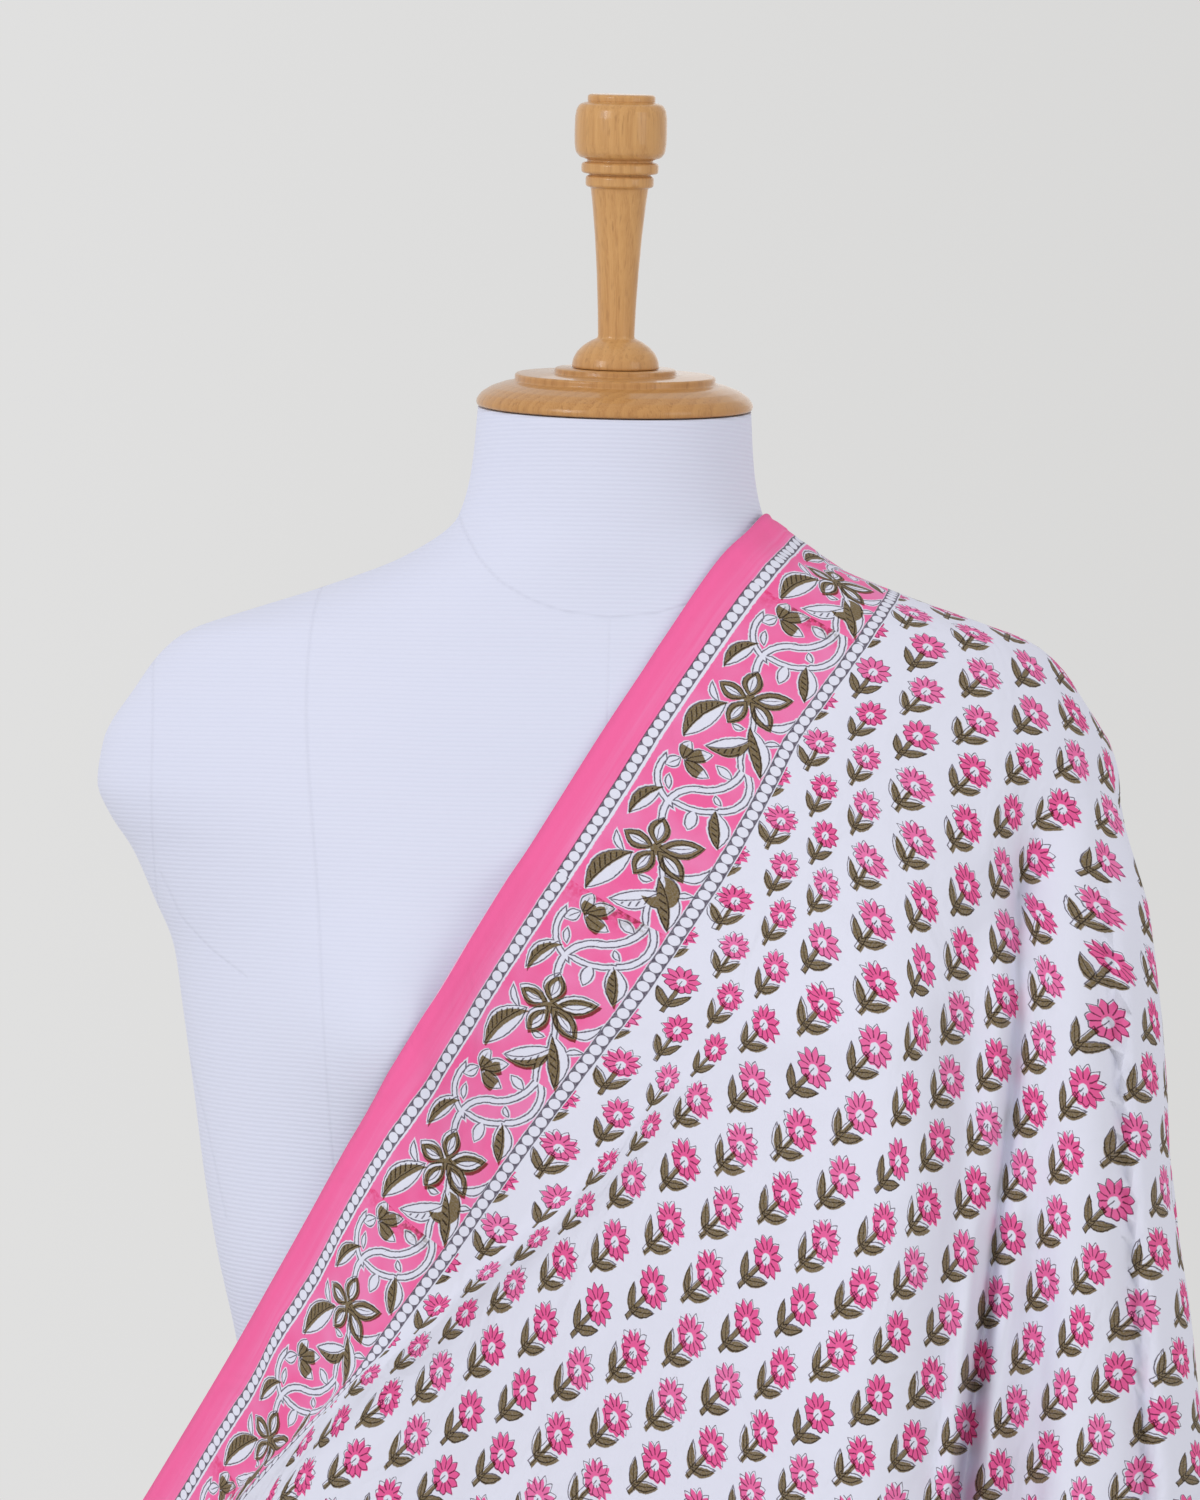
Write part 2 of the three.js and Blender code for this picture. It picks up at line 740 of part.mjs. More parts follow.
// The cloth as one closed sheet: every kept thread crossing, offset to both faces, with a rim all round.
function sheetGeometry(cloth) {
  const { rows, cols } = cloth;
  const mid = (i, j) => {
    const k = cloth.at(clamp(i, 0, rows - 1), clamp(j, 0, cols - 1));
    return new THREE.Vector3(cloth.p[0][k], cloth.p[1][k], cloth.p[2][k]);
  };
  const outer = [],
    inner = [];
  for (let i = 0; i < rows; i++)
    for (let j = 0; j < cols; j++) {
      const along = mid(i + 1, j).sub(mid(i - 1, j)),
        over = mid(i, j + 1).sub(mid(i, j - 1));
      const n = along.cross(over).normalize().multiplyScalar(SHEET / 2);
      outer.push(mid(i, j).add(n).toArray());
      inner.push(mid(i, j).sub(n).toArray());
    }
  const n = rows * cols;
  const id = (i, j) => i * cols + j;
  const faces = [];
  const quad = (a, b, c, d) => faces.push([a, b, c], [a, c, d]);
  // Each cell is split along the folds, which spread from the shoulder.
  for (let i = 0; i < rows - 1; i++)
    for (let j = 0; j < cols - 1; j++) {
      const cell = [id(i, j), id(i + 1, j), id(i + 1, j + 1), id(i, j + 1)];
      if (i < (rows - 1) / 2) cell.push(cell.shift());
      const [a, b, c, d] = cell;
      quad(a, b, c, d);
      quad(n + a, n + d, n + c, n + b);
    }
  for (let i = 0; i < rows - 1; i++) {
    quad(id(i, 0), n + id(i, 0), n + id(i + 1, 0), id(i + 1, 0));
    const j = cols - 1;
    quad(id(i + 1, j), n + id(i + 1, j), n + id(i, j), id(i, j));
  }
  for (let j = 0; j < cols - 1; j++) {
    quad(id(0, j + 1), n + id(0, j + 1), n + id(0, j), id(0, j));
    const i = rows - 1;
    quad(id(i, j), n + id(i, j), n + id(i, j + 1), id(i, j + 1));
  }
  return geometry([...outer, ...inner], faces);
}

// The padded form: a ring of points at each height, closed by a flat foot and a flat neck.
function bodyGeometry() {
  const heights = SECTIONS.map((row) => row.z);
  for (let k = heights.length - 1; k > 0; k--)
    if (heights[k] - heights[k - 1] > 40)
      heights.splice(k, 0, (heights[k] + heights[k - 1]) / 2);
  const points = [];
  for (const z of heights) {
    const s = sectionAt(z);
    const lean = clamp((z - TILT_FROM) / (FORM_TOP - TILT_FROM), 0, 1);
    for (let k = 0; k < BODY_SIDES; k++) {
      const a = (2 * Math.PI * k) / BODY_SIDES;
      const x = s.half * Math.cos(a);
      const depth = Math.sin(a) < 0 ? s.front + bustAt(x, z).depth : s.back;
      const y = depth * Math.sin(a);
      points.push([x, s.y + y, z + y * Math.tan(rad(NECK_TILT)) * lean]);
    }
  }
  const faces = [];
  const m = BODY_SIDES;
  for (let r = 0; r < heights.length - 1; r++)
    for (let k = 0; k < m; k++) {
      const a = r * m + k,
        b = r * m + ((k + 1) % m);
      faces.push([a, b, b + m], [a, b + m, a + m]);
    }
  const foot = points.length;
  points.push([0, SECTIONS[0].y, FORM_FOOT]);
  points.push([0, SECTIONS[SECTIONS.length - 1].y, FORM_TOP]);
  const last = (heights.length - 1) * m;
  for (let k = 0; k < m; k++) {
    const b = (k + 1) % m;
    faces.push([foot, b, k], [foot + 1, last + k, last + b]);
  }
  return geometry(points, faces);
}

// A turned piece, standing on its first row and closed on its axis.
function turned(profile) {
  const pts = [
    new THREE.Vector2(0, profile[0].h),
    ...profile.map((row) => new THREE.Vector2(row.r, row.h)),
    new THREE.Vector2(0, profile[profile.length - 1].h),
  ];
  const g = new THREE.LatheGeometry(pts, TURN_SIDES);
  g.rotateX(Math.PI / 2); // its axis from +Y to +Z
  return g;
}

const cotton = new THREE.MeshStandardMaterial({
  color: 0xe8dfe8,
  roughness: 0.92,
  metalness: 0,
  side: THREE.DoubleSide,
});
const jersey = new THREE.MeshStandardMaterial({
  color: 0xe6e8f2,
  roughness: 0.95,
  metalness: 0,
});
const varnish = new THREE.MeshStandardMaterial({
  color: 0xc58b50,
  roughness: 0.3,
  metalness: 0,
});
const enamel = new THREE.MeshStandardMaterial({
  color: 0xe4e4e2,
  roughness: 0.35,
  metalness: 0.2,
});

const part = new THREE.Group();
function add(parent, name, g, material) {
  const mesh = new THREE.Mesh(g, material);
  mesh.name = name;
  parent.add(mesh);
  return mesh;
}

add(part, "sarong", sheetGeometry(keptThreads(drape())), cotton);
add(part, "form_body", bodyGeometry(), jersey);

const head = new THREE.Group(); // leans with the neck
head.position.set(0, SECTIONS[SECTIONS.length - 1].y, FORM_TOP);
head.rotation.x = rad(NECK_TILT);
part.add(head);
add(head, "neck_cap", turned(CAP_PROFILE), varnish).position.z = GAP;
add(head, "finial", turned(FINIAL_PROFILE), varnish).position.z =
  GAP + CAP_PROFILE[CAP_PROFILE.length - 1].h + GAP;

add(
  part,
  "pole",
  turned([
    { r: POLE_RADIUS, h: BASE_HEIGHT + GAP },
    { r: POLE_RADIUS, h: 300 },
    { r: POLE_RADIUS, h: 570 },
    { r: POLE_RADIUS, h: FORM_FOOT - GAP },
  ]),
  enamel,
);
add(
  part,
  "base",
  turned([
    { r: BASE_RADIUS - 2, h: 0 },
    { r: BASE_RADIUS, h: 3 },
    { r: BASE_RADIUS, h: 9 },
    { r: BASE_RADIUS - 5, h: 13 },
    { r: BASE_RADIUS - 60, h: 16 },
    { r: 42, h: 18 },
    { r: 30, h: BASE_HEIGHT },
  ]),
  enamel,
);

export default part;
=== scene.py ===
"""The looks of a block-printed cotton sarong on a dress form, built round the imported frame.

Metres, +Z up, the form faces -Y. The cloth is solved finely from the frame's own drape, and its print is drawn
by shader nodes in the flat cloth's coordinates.
"""
import math

import bpy
import numpy as np
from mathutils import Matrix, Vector


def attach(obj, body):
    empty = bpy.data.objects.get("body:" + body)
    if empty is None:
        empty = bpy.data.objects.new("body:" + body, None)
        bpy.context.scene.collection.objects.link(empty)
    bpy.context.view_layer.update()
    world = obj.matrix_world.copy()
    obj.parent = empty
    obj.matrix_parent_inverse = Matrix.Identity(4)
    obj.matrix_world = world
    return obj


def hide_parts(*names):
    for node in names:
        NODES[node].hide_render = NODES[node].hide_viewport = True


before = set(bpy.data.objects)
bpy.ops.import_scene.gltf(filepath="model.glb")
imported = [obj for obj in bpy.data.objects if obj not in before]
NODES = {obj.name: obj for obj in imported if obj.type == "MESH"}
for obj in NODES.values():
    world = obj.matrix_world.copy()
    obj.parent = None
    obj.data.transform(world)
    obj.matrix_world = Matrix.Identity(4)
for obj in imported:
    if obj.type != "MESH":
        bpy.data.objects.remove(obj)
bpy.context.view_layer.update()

# ---------- sizes, in metres ----------
KEPT_ROWS, KEPT_COLS = 61, 38  # threads of the frame's sheet, along and across
THICK = 0.0009
REST_ON = 0.0021  # from the form to the middle of the cloth
FORM_TILT, TILT_FROM = 8.0, 1.480
PHOTO_W, PHOTO_H, FOCAL_PX = 1200, 1500, 5720.0


# ---------- camera, at the photograph's angle ----------
cam_data = bpy.data.cameras.new("camera")
cam = bpy.data.objects.new("camera", cam_data)
bpy.context.scene.collection.objects.link(cam)
cam_data.sensor_fit = "AUTO"
cam_data.sensor_width = 36.0
cam_data.lens = 36.0 * FOCAL_PX / PHOTO_H
cam_data.clip_end = 50.0
CAMERA = (-0.0026, -2.2, 1.4115)
CAMERA_ROLL = 1.3
cam.location = CAMERA
cam.rotation_euler = (math.radians(90), math.radians(-CAMERA_ROLL), 0)
bpy.context.scene.camera = cam


# ---------- mesh helpers ----------
def new_mesh(name, verts, faces, smooth=True):
    """A mesh object from arrays of vertices and of quads or triangles."""
    me = bpy.data.meshes.new(name)
    verts = np.asarray(verts, np.float32).reshape(-1, 3)
    faces = [np.asarray(f, np.int32) for f in (faces if isinstance(faces, list) else [faces])]
    faces = [f for f in faces if len(f)]
    me.vertices.add(len(verts))
    me.vertices.foreach_set("co", verts.ravel())
    loops = np.concatenate([f.ravel() for f in faces])
    sizes = np.concatenate([np.full(len(f), f.shape[1], np.int32) for f in faces])
    me.loops.add(len(loops))
    me.loops.foreach_set("vertex_index", loops)
    me.polygons.add(len(sizes))
    me.polygons.foreach_set("loop_start", np.concatenate([[0], np.cumsum(sizes)[:-1]]).astype(np.int32))
    me.polygons.foreach_set("loop_total", sizes)
    me.polygons.foreach_set("use_smooth", np.full(len(sizes), smooth))
    me.update(calc_edges=True)
    me.validate()
    ob = bpy.data.objects.new(name, me)
    bpy.context.scene.collection.objects.link(ob)
    return ob


def float_attribute(me, name, values):
    a = me.attributes.new(name, "FLOAT", "POINT")
    a.data.foreach_set("value", np.asarray(values, np.float32).ravel())


# ---------- arithmetic made of shader nodes ----------
class Value:
    """A number that is worked out by nodes, or a plain one."""

    def __init__(self, kit, x):
        self.kit, self.x = kit, x

    def __add__(self, o):
        return self.kit.math("ADD", self, o)

    __radd__ = __add__

    def __sub__(self, o):
        return self.kit.math("SUBTRACT", self, o)

    def __rsub__(self, o):
        return self.kit.math("SUBTRACT", o, self)

    def __mul__(self, o):
        return self.kit.math("MULTIPLY", self, o)

    __rmul__ = __mul__

    def __neg__(self):
        return self.kit.math("SUBTRACT", 0.0, self)


class Kit:
    def __init__(self, tree):
        self.tree, self.made = tree, 0

    def node(self, kind, **props):
        n = self.tree.nodes.new(kind)
        for k, v in props.items():
            setattr(n, k, v)
        self.made += 1
        return n

    def put(self, socket, x):
        if isinstance(x, Value):
            x = x.x
        if isinstance(x, bpy.types.NodeSocket):
            self.tree.links.new(x, socket)
        else:
            socket.default_value = x

    def math(self, op, *args, clamp=False):
        n = self.node("ShaderNodeMath", operation=op, use_clamp=clamp)
        for i, a in enumerate(args):
            self.put(n.inputs[i], a)
        return Value(self, n.outputs[0])

    def abs(self, a):
        return self.math("ABSOLUTE", a)

    def min(self, a, b):
        return self.math("MINIMUM", a, b)

    def max(self, a, b):
        return self.math("MAXIMUM", a, b)

    def floor(self, a):
        return self.math("FLOOR", a)

    def fract(self, a):
        return self.math("FRACT", a)

    def mad(self, a, b, c):
        return self.math("MULTIPLY_ADD", a, b, c)

    def lin(self, x, a, y, b, c):
        return self.mad(x, a, self.mad(y, b, c))

    def clamp(self, a):
        return self.math("MULTIPLY", a, 1.0, clamp=True)

    def atan(self, y, x):
        return self.math("ARCTAN2", y, x)

    def less(self, a, b):
        return self.math("LESS_THAN", a, b)

    def mix(self, a, b, t):
        return self.mad(b - a, t, a)

    def power(self, a, b):
        return self.math("POWER", a, b)

    def sin(self, a):
        return self.math("SINE", a)

    def len(self, x, y):
        return self.math("SQRT", self.mad(x, x, y * y))

    def join(self, x, y, z=0.0):
        n = self.node("ShaderNodeCombineXYZ")
        for i, a in enumerate((x, y, z)):
            self.put(n.inputs[i], a)
        return n.outputs[0]

    def split(self, v):
        n = self.node("ShaderNodeSeparateXYZ")
        self.put(n.inputs[0], v)
        return [Value(self, o) for o in n.outputs]

    def rand(self, a, b):
        n = self.node("ShaderNodeTexWhiteNoise", noise_dimensions="2D")
        self.put(n.inputs["Vector"], self.join(a, b))
        return self.split(n.outputs["Color"])

    def noise(self, vector, scale, detail=2.0, rough=0.5, dims="3D", distortion=0.0):
        n = self.node("ShaderNodeTexNoise", noise_dimensions=dims)
        self.put(n.inputs["Vector"], vector)
        n.inputs["Scale"].default_value = scale
        n.inputs["Detail"].default_value = detail
        n.inputs["Roughness"].default_value = rough
        n.inputs["Distortion"].default_value = distortion
        return n

    def level(self, n):
        return Value(self, n.outputs[0])

    def cover(self, a, soft=0.14):
        """Ink cover from the distance inside a shape."""
        return self.math("MULTIPLY_ADD", a, 1.0 / soft, 0.5, clamp=True)

    def mix_rgb(self, t, a, b, blend="MIX"):
        n = self.node("ShaderNodeMix", data_type="RGBA", blend_type=blend)
        self.put(n.inputs[0], t)
        self.put(n.inputs[6], a)
        self.put(n.inputs[7], b)
        return n.outputs[2]


def material(name, **values):
    """A new material; returns it, its kit and its principled shader."""
    m = bpy.data.materials.new(name)
    m.use_nodes = True
    shader = next(n for n in m.node_tree.nodes if n.type == "BSDF_PRINCIPLED")
    for k, v in values.items():
        shader.inputs[k.replace("_", " ")].default_value = v
    return m, Kit(m.node_tree), shader


# ---------- the block print, in millimetres of the flat cloth ----------
# across: distance from the printed edge; along: distance from the shoulder, positive to the front.
# Each function takes a kit K of arithmetic, so that the same drawing is made of shader nodes.
BAND = 13.3            # plain band along the edge
ROW_ONE, ROW_TWO = 15.6, 56.4
PEARL_STEP, PEARL = 3.95, 2.0
GROUND_FROM, GROUND_TO = 18.8, 53.9
FIELD_FROM = 59.0
UNIT, UNIT_AT, UNIT_TOP = 68.0, 104.0, 42.0
SPRIG_WIDE, SPRIG_HIGH, SPRIG_LEAN = 22.6, 35.5, 0.19
SPRIG_X, SPRIG_Y = 66.6, 33.0

# Leaves of the creeper: kind, base x, y, tip x, y, width, bend, and the side that the olive block fills
# (0 none, 1 all, 2 its left, 3 its right, 4 ring, 5 lower part). x across, y along, from the flower's centre.
LEAVES = [
    ("petal", -0.4, -1.2, -3.0, -11.2, 6.6, 0.4, 4),
    ("petal", 1.0, -0.6, 12.8, -8.6, 6.4, -0.5, 4),
    ("petal", 1.2, 0.8, 12.6, 6.2, 6.2, 0.6, 4),
    ("petal", 0.0, 1.4, -1.4, 12.0, 6.2, -0.3, 4),
    ("petal", -1.2, 0.0, -11.6, 0.2, 6.0, 0.5, 4),
    ("leaf", -5.4, 5.6, -11.6, 25.6, 9.4, -1.6, 3),
    ("leaf", 6.0, 9.0, 17.0, 24.6, 7.0, 1.8, 6),
    ("leaf", 8.8, 13.2, -3.2, 24.4, 6.6, 1.8, 2),
    ("lobe", -7.8, -34.6, -8.2, -42.2, 4.2, 0.3, 5),
    ("lobe", -6.6, -34.8, 0.2, -41.6, 4.4, 0.4, 5),
    ("lobe", -7.0, -34.2, 2.6, -33.0, 4.6, -0.5, 5),
    ("lobe", -8.4, -34.4, -11.8, -29.2, 4.0, 0.2, 0),
    ("leaf", -8.6, -21.2, -13.6, -6.2, 6.2, -1.2, 3),
    ("small", 4.0, -19.6, 5.4, -11.6, 4.0, 0.0, 0),
    ("leaf", 9.6, -23.2, 16.2, -10.8, 6.6, 0.9, 3),
    ("small", 9.6, -37.0, 3.2, -38.8, 3.2, 0.0, 0),
    ("small", -7.6, 7.2, -13.8, 1.6, 2.4, 0.9, 0),
    ("small", 9.2, 5.4, 17.8, -2.6, 3.0, -2.6, 0),
    ("small", 13.4, 12.8, 18.2, 9.0, 2.0, 0.7, 0),
    ("small", 4.8, 11.0, 0.2, 11.6, 2.0, 0.6, 0),
    ("small", 10.6, -25.8, 7.4, -28.4, 2.0, 0.4, 0),
    ("small", -6.4, -21.6, -9.0, -26.8, 2.2, 0.3, 0),
]
# Stems of the creeper, each an arc through three points, and its width.
STEMS = [
    (11.2, -43.5, 9.2, -33.8, 1.4, -27.0, 2.3),
    (1.6, -27.2, -3.2, -22.2, -3.2, -10.4, 2.3),
    (11.0, -43.5, 16.4, -33.5, 10.6, -23.4, 2.2),
    (10.8, -23.6, 4.0, -19.4, -3.2, -18.6, 2.0),
    (-3.2, -17.2, -11.4, -22.6, -12.8, -31.8, 2.1),
    (4.4, 4.4, 8.0, 11.0, 8.2, 18.6, 1.8),
    (8.0, 17.6, 8.8, 22.0, 11.4, 26.5, 1.9),
]


def leaf(K, x, y, bx, by, tx, ty, wide, bend):
    """Distance inside a leaf, how far along it the point is, and how far off its midrib."""
    n = math.hypot(tx - bx, ty - by)
    ux, uy = (tx - bx) / n, (ty - by) / n
    t = K.lin(x, ux / n, y, uy / n, -(bx * ux + by * uy) / n)
    v = K.lin(x, -uy, y, ux, bx * uy - by * ux)
    q = t * (1.0 - t)
    if bend:
        v = K.mad(q, 4 * bend, v)
    return q * (2 * wide) - K.abs(v), t, v


def arc(K, x, y, ax, ay, mx, my, bx, by, wide):
    """Distance inside a stem along the arc through three points."""
    d = 2 * (ax * (my - by) + mx * (by - ay) + bx * (ay - my))
    a2, m2, b2 = ax * ax + ay * ay, mx * mx + my * my, bx * bx + by * by
    cx = (a2 * (my - by) + m2 * (by - ay) + b2 * (ay - my)) / d
    cy = (a2 * (bx - mx) + m2 * (ax - bx) + b2 * (mx - ax)) / d
    r = math.hypot(ax - cx, ay - cy)
    n = math.hypot(bx - ax, by - ay)
    nx, ny = -(by - ay) / n, (bx - ax) / n
    if (mx - ax) * nx + (my - ay) * ny < 0:
        nx, ny = -nx, -ny
    side = K.lin(x, nx, y, ny, 0.35 - ax * nx - ay * ny)
    return K.min(wide / 2 - K.abs(K.len(x - cx, y - cy) - r), side)


def pearls(K, x, y):
    """Ink round a row of touching dots: x off the row's middle, y along it."""
    f = K.fract(y * (1 / PEARL_STEP))
    d = K.len(x, K.mad(f, PEARL_STEP, -PEARL_STEP / 2))
    return K.min(d - 1.86, 2.3 - K.abs(x))


def border(K, w, l, wob1, wob2):
    """Coverage of the pink, olive and dark blocks in the border."""
    k = K.floor((l - (UNIT_AT - UNIT_TOP)) * (1 / UNIT))
    block = K.floor(k * 0.5)
    odd = k - block * 2.0
    r1, r2, r3 = K.rand(block, 3.0)
    x0 = K.mad(wob1, 0.5, w - 36.0)
    y0 = K.mad(wob2, 0.5, l - (UNIT_AT - UNIT_TOP) - k * UNIT) - UNIT_TOP
    x = K.mad(r1, 0.9, x0 - 0.45)
    y = y0
    sil = line = vine = None
    for kind, bx, by, tx, ty, wide, bend, fill in LEAVES:
        a, t, v = leaf(K, x, y, bx, by, tx, ty, wide, bend)
        sil = a if sil is None else K.max(sil, a)
        if kind in ("petal", "lobe"):
            e = 0.26 - K.abs(a)
            line = e if line is None else K.max(line, e)
        else:
            vine = a if vine is None else K.max(vine, a)
        if kind == "petal":
            # white heart of the petal with its own outline and a midrib
            line = K.max(line, 0.2 - K.abs(a - 1.6))
            line = K.max(line, K.min(0.17 - K.abs(v), K.min(a - 1.8, 0.66 - t)))
        elif kind == "leaf":
            # midrib, and veins slanting off it on the inked side
            line = K.max(line, K.min(0.22 - K.abs(v), a - 0.3))
            f = K.abs(K.fract(K.mad(t, wide * 0.95, v * 0.34)) - 0.5) * 1.9
            line = K.max(line, K.min(0.26 - f, K.min(a - 0.9, (v if fill in (3, 6) else -v) - 0.5)))
        elif kind == "lobe":
            line = K.max(line, K.min(0.2 - K.abs(v), K.min(a - 0.4, 0.7 - t)))
    sil = K.max(sil, 2.7 - K.len(x - 0.1, y - 0.1))
    for s in STEMS:
        vine = K.max(vine, arc(K, x, y, *s))
    limb = K.min(6.2 - K.len(x - 8.6, y - 13.2), K.len(x - 3.6, y - 12.0) - 5.0) - (1.0 - odd) * 20.0
    vine = K.max(vine, limb)
    sil = K.max(sil, vine)
    # one outline runs round the stems and leaves together, and stops where a petal covers them
    line = K.max(line, 0.25 - K.abs(vine - 0.1))
    # the olive block, a little out of register
    ox = K.mad(r2, 1.0, x - 1.25)
    oy = K.mad(r3, 1.0, y - 0.85)
    olive = None
    for kind, bx, by, tx, ty, wide, bend, fill in LEAVES:
        if not fill:
            continue
        a, t, v = leaf(K, ox, oy, bx, by, tx, ty, wide, bend)
        if fill == 4:
            a = K.min(a + 0.35, 1.75 - a)
        elif fill == 2:
            a = K.min(a + 0.2, 0.15 - v)
        elif fill in (3, 6):
            a = K.min(a + 0.2, v + 0.15)
        elif fill == 5:
            a = K.min(a + 0.3, (0.66 - t) * 8.0)
        if kind == "leaf" and tx == -3.2:
            a = a - odd * 20.0
        olive = a if olive is None else K.max(olive, a)
    heart = 2.3 - K.len(ox - 0.3, oy)
    olive = K.max(olive, heart)
    crescent = K.min(6.0 - K.len(ox - 8.6, oy - 13.2), K.len(ox - 3.6, oy - 12.0) - 5.4)
    olive = K.max(olive, crescent - (1.0 - odd) * 20.0)
    ground = K.min(w - GROUND_FROM, GROUND_TO - w)
    ground = K.mad(wob2, 0.7, ground)
    # the white slip round each shape is uneven, and wider below right
    slip = K.mad(wob1, 0.5, 0.62)
    pink = K.min(ground, 0.0 - sil - slip)
    # dots
    dots = K.max(pearls(K, w - ROW_ONE + r2 * 0.5 - 0.25, l + r3 * 2.0), pearls(K, w - ROW_TWO + r1 * 0.6 - 0.3, l + r1 * 3.0))
    dark = K.max(line, dots)
    band = K.mad(wob1, 0.5, BAND - w)
    # where two blocks meet, their ink lies double
    joint = K.abs(y0 + UNIT_TOP + odd * 20.0)
    return pink, olive, dark, band, joint, y0, odd, sil


def sprig(K, x, y):
    """Flower head, its white heart, its petal lines, and its stem with two leaves."""
    low = K.clamp(y * 9.0)
    yy = y * K.mad(low, 0.027, 0.189)
    r = K.len(x * 0.1335, yy)
    th = K.atan(x * 0.1335, 0.0 - yy) * (11 / (2 * math.pi))
    f = K.fract(th + 0.5)
    p = 1.0 - K.abs(f * 2.0 - 1.0)
    down = K.clamp(K.mad(yy, 2.4, -0.55))
    tip = 0.73 + p * 0.32
    soft = 0.84 + p * 0.10
    b = tip + (soft - tip) * down
    head = (b - r) * 5.8
    heart = 1.45 - K.len(x * 0.86, y - 0.35) + K.abs(x) * 0.12
    gap = 0.2 - p * r * 1.75
    lines = K.min(gap, K.min((r - 0.33) * 5.0, (b * 0.97 - r) * 5.0))
    lines = K.max(lines, 0.2 - K.abs(head))
    stalk = K.min(0.95 - K.abs(x), K.min(y - 3.3, 12.9 - y))
    a1, t1, v1 = leaf(K, x, y, 1.0, 10.6, -6.9, 4.9, 3.1, 0.6)
    a2, t2, v2 = leaf(K, x, y, -1.0, 10.4, 6.7, 3.7, 3.0, -0.5)
    return head, heart, lines, stalk, K.max(a1, a2), K.min(v1 * 0.0 + K.abs(v1), K.abs(v2)), t1


def field(K, w, l, wob1, wob2):
    """Coverage of the three blocks in the field of sprigs."""
    def cell(wx, ly):
        c = K.floor((w - wx) * (1 / SPRIG_WIDE) + 0.5)
        xx = w - wx - c * SPRIG_WIDE
        ll = K.mad(c, SPRIG_LEAN * SPRIG_WIDE, l - ly)
        r = K.floor((ll - 3.6) * (1 / SPRIG_HIGH) + 0.5)
        return c, r, xx, ll - r * SPRIG_HIGH
    ca, ra, xa, ya = cell(SPRIG_X, SPRIG_Y)
    cb, rb, xb, yb = cell(SPRIG_X + SPRIG_WIDE / 2, SPRIG_Y + SPRIG_HIGH / 2 - SPRIG_LEAN * SPRIG_WIDE / 2)
    ma = K.abs(xa) * (1 / 8.5) + K.abs(ya - 3.6) * (1 / 10.5)
    mb = K.abs(xb) * (1 / 8.5) + K.abs(yb - 3.6) * (1 / 10.5)
    s = K.less(mb, ma)
    x = K.mix(xa, xb, s)
    y = K.mix(ya, yb, s)
    r1, r2, r3 = K.rand(K.mix(ca, cb, s) + s * 0.5, K.mix(ra, rb, s) + s * 0.25)
    x = K.mad(wob1, 0.55, x)
    y = K.mad(wob2, 0.55, y)
    # ink of pink and olive
    head, heart, _, stalk, leaves, _, _ = sprig(K, x, y)
    pink = K.min(head, 0.0 - heart)
    olive = K.max(stalk, leaves + 0.12)
    # the line block sits up and to the left by a varying amount
    _, _, lines, st, lv, rib, _ = sprig(K, x + r1 * 1.5 - 0.1, y + r2 * 1.3 - 0.25)
    fine = K.max(lines, K.min(K.max(0.2 - K.abs(lv), 0.18 - K.abs(st)), 0.5 - K.min(lv, st)))
    fine = K.max(fine, K.min(0.14 - rib, lv - 0.2))
    mark = K.min(0.22 - K.abs(x + 0.25), K.min(y + 0.2, 1.6 - y))
    fine = K.max(fine, mark)
    return pink, olive, fine, r1, r2, r3


# ---------- the form's surface, in millimetres ----------
# Height, half width, depth to the front and to the back of the centre, centre in Y: the frame's own sections.
SECTIONS = np.array([
    (840, 160, 98, 112, 2), (880, 168, 103, 120, 3), (940, 173, 105, 126, 4), (1000, 166, 102, 116, 4),
    (1060, 144, 96, 96, 3), (1125, 127, 92, 82, 1), (1182, 137, 94, 86, 0), (1215, 145, 97, 92, 0),
    (1246, 151, 98, 97, 1), (1276, 155.5, 99, 101, 2), (1310, 161, 100, 104, 4), (1333, 165, 99, 105, 5),
    (1351, 173, 97, 104, 6), (1370, 182, 95, 102, 6), (1383, 191, 92, 99, 6), (1395, 196, 89, 96, 6),
    (1411, 194, 85, 91, 6), (1432, 182, 78, 82, 6), (1446, 172, 72, 74, 5), (1454, 162, 69, 70, 4),
    (1462, 140, 66, 66, 3), (1472, 110, 63, 62, 1), (1485, 78, 60, 59, -2), (1500, 59, 57, 56, -5),
    (1520, 54, 54, 54, -9), (1542, 52.2, 52.2, 52.2, -13.4),
], float)
BUST = dict(x=88.0, z=1305.0, wide=58.0, high=62.0, depth=34.0)
FORM_STEP = 2.5


def _curve(zs, ys, zq):
    """A smooth curve through a table's rows that adds no bumps."""
    n = len(zs)
    h = np.diff(zs)
    d = np.diff(ys) / h
    m = np.zeros(n)
    m[0], m[-1] = d[0], d[-1]
    for i in range(1, n - 1):
        if d[i - 1] * d[i] > 0:
            a, b = 2 * h[i] + h[i - 1], h[i] + 2 * h[i - 1]
            m[i] = (a + b) / (a / d[i - 1] + b / d[i])
    k = np.clip(np.searchsorted(zs, zq, side="right") - 1, 0, n - 2)
    t = (zq - zs[k]) / h[k]
    t2, t3 = t * t, t * t * t
    return ((2 * t3 - 3 * t2 + 1) * ys[k] + (t3 - 2 * t2 + t) * h[k] * m[k]
            + (3 * t2 - 2 * t3) * ys[k + 1] + (t3 - t2) * h[k] * m[k + 1])


FORM_Z = np.arange(SECTIONS[0, 0], SECTIONS[-1, 0] + FORM_STEP, FORM_STEP)
FORM_TABLE = [_curve(SECTIONS[:, 0], SECTIONS[:, c], FORM_Z) for c in (1, 2, 3, 4)]


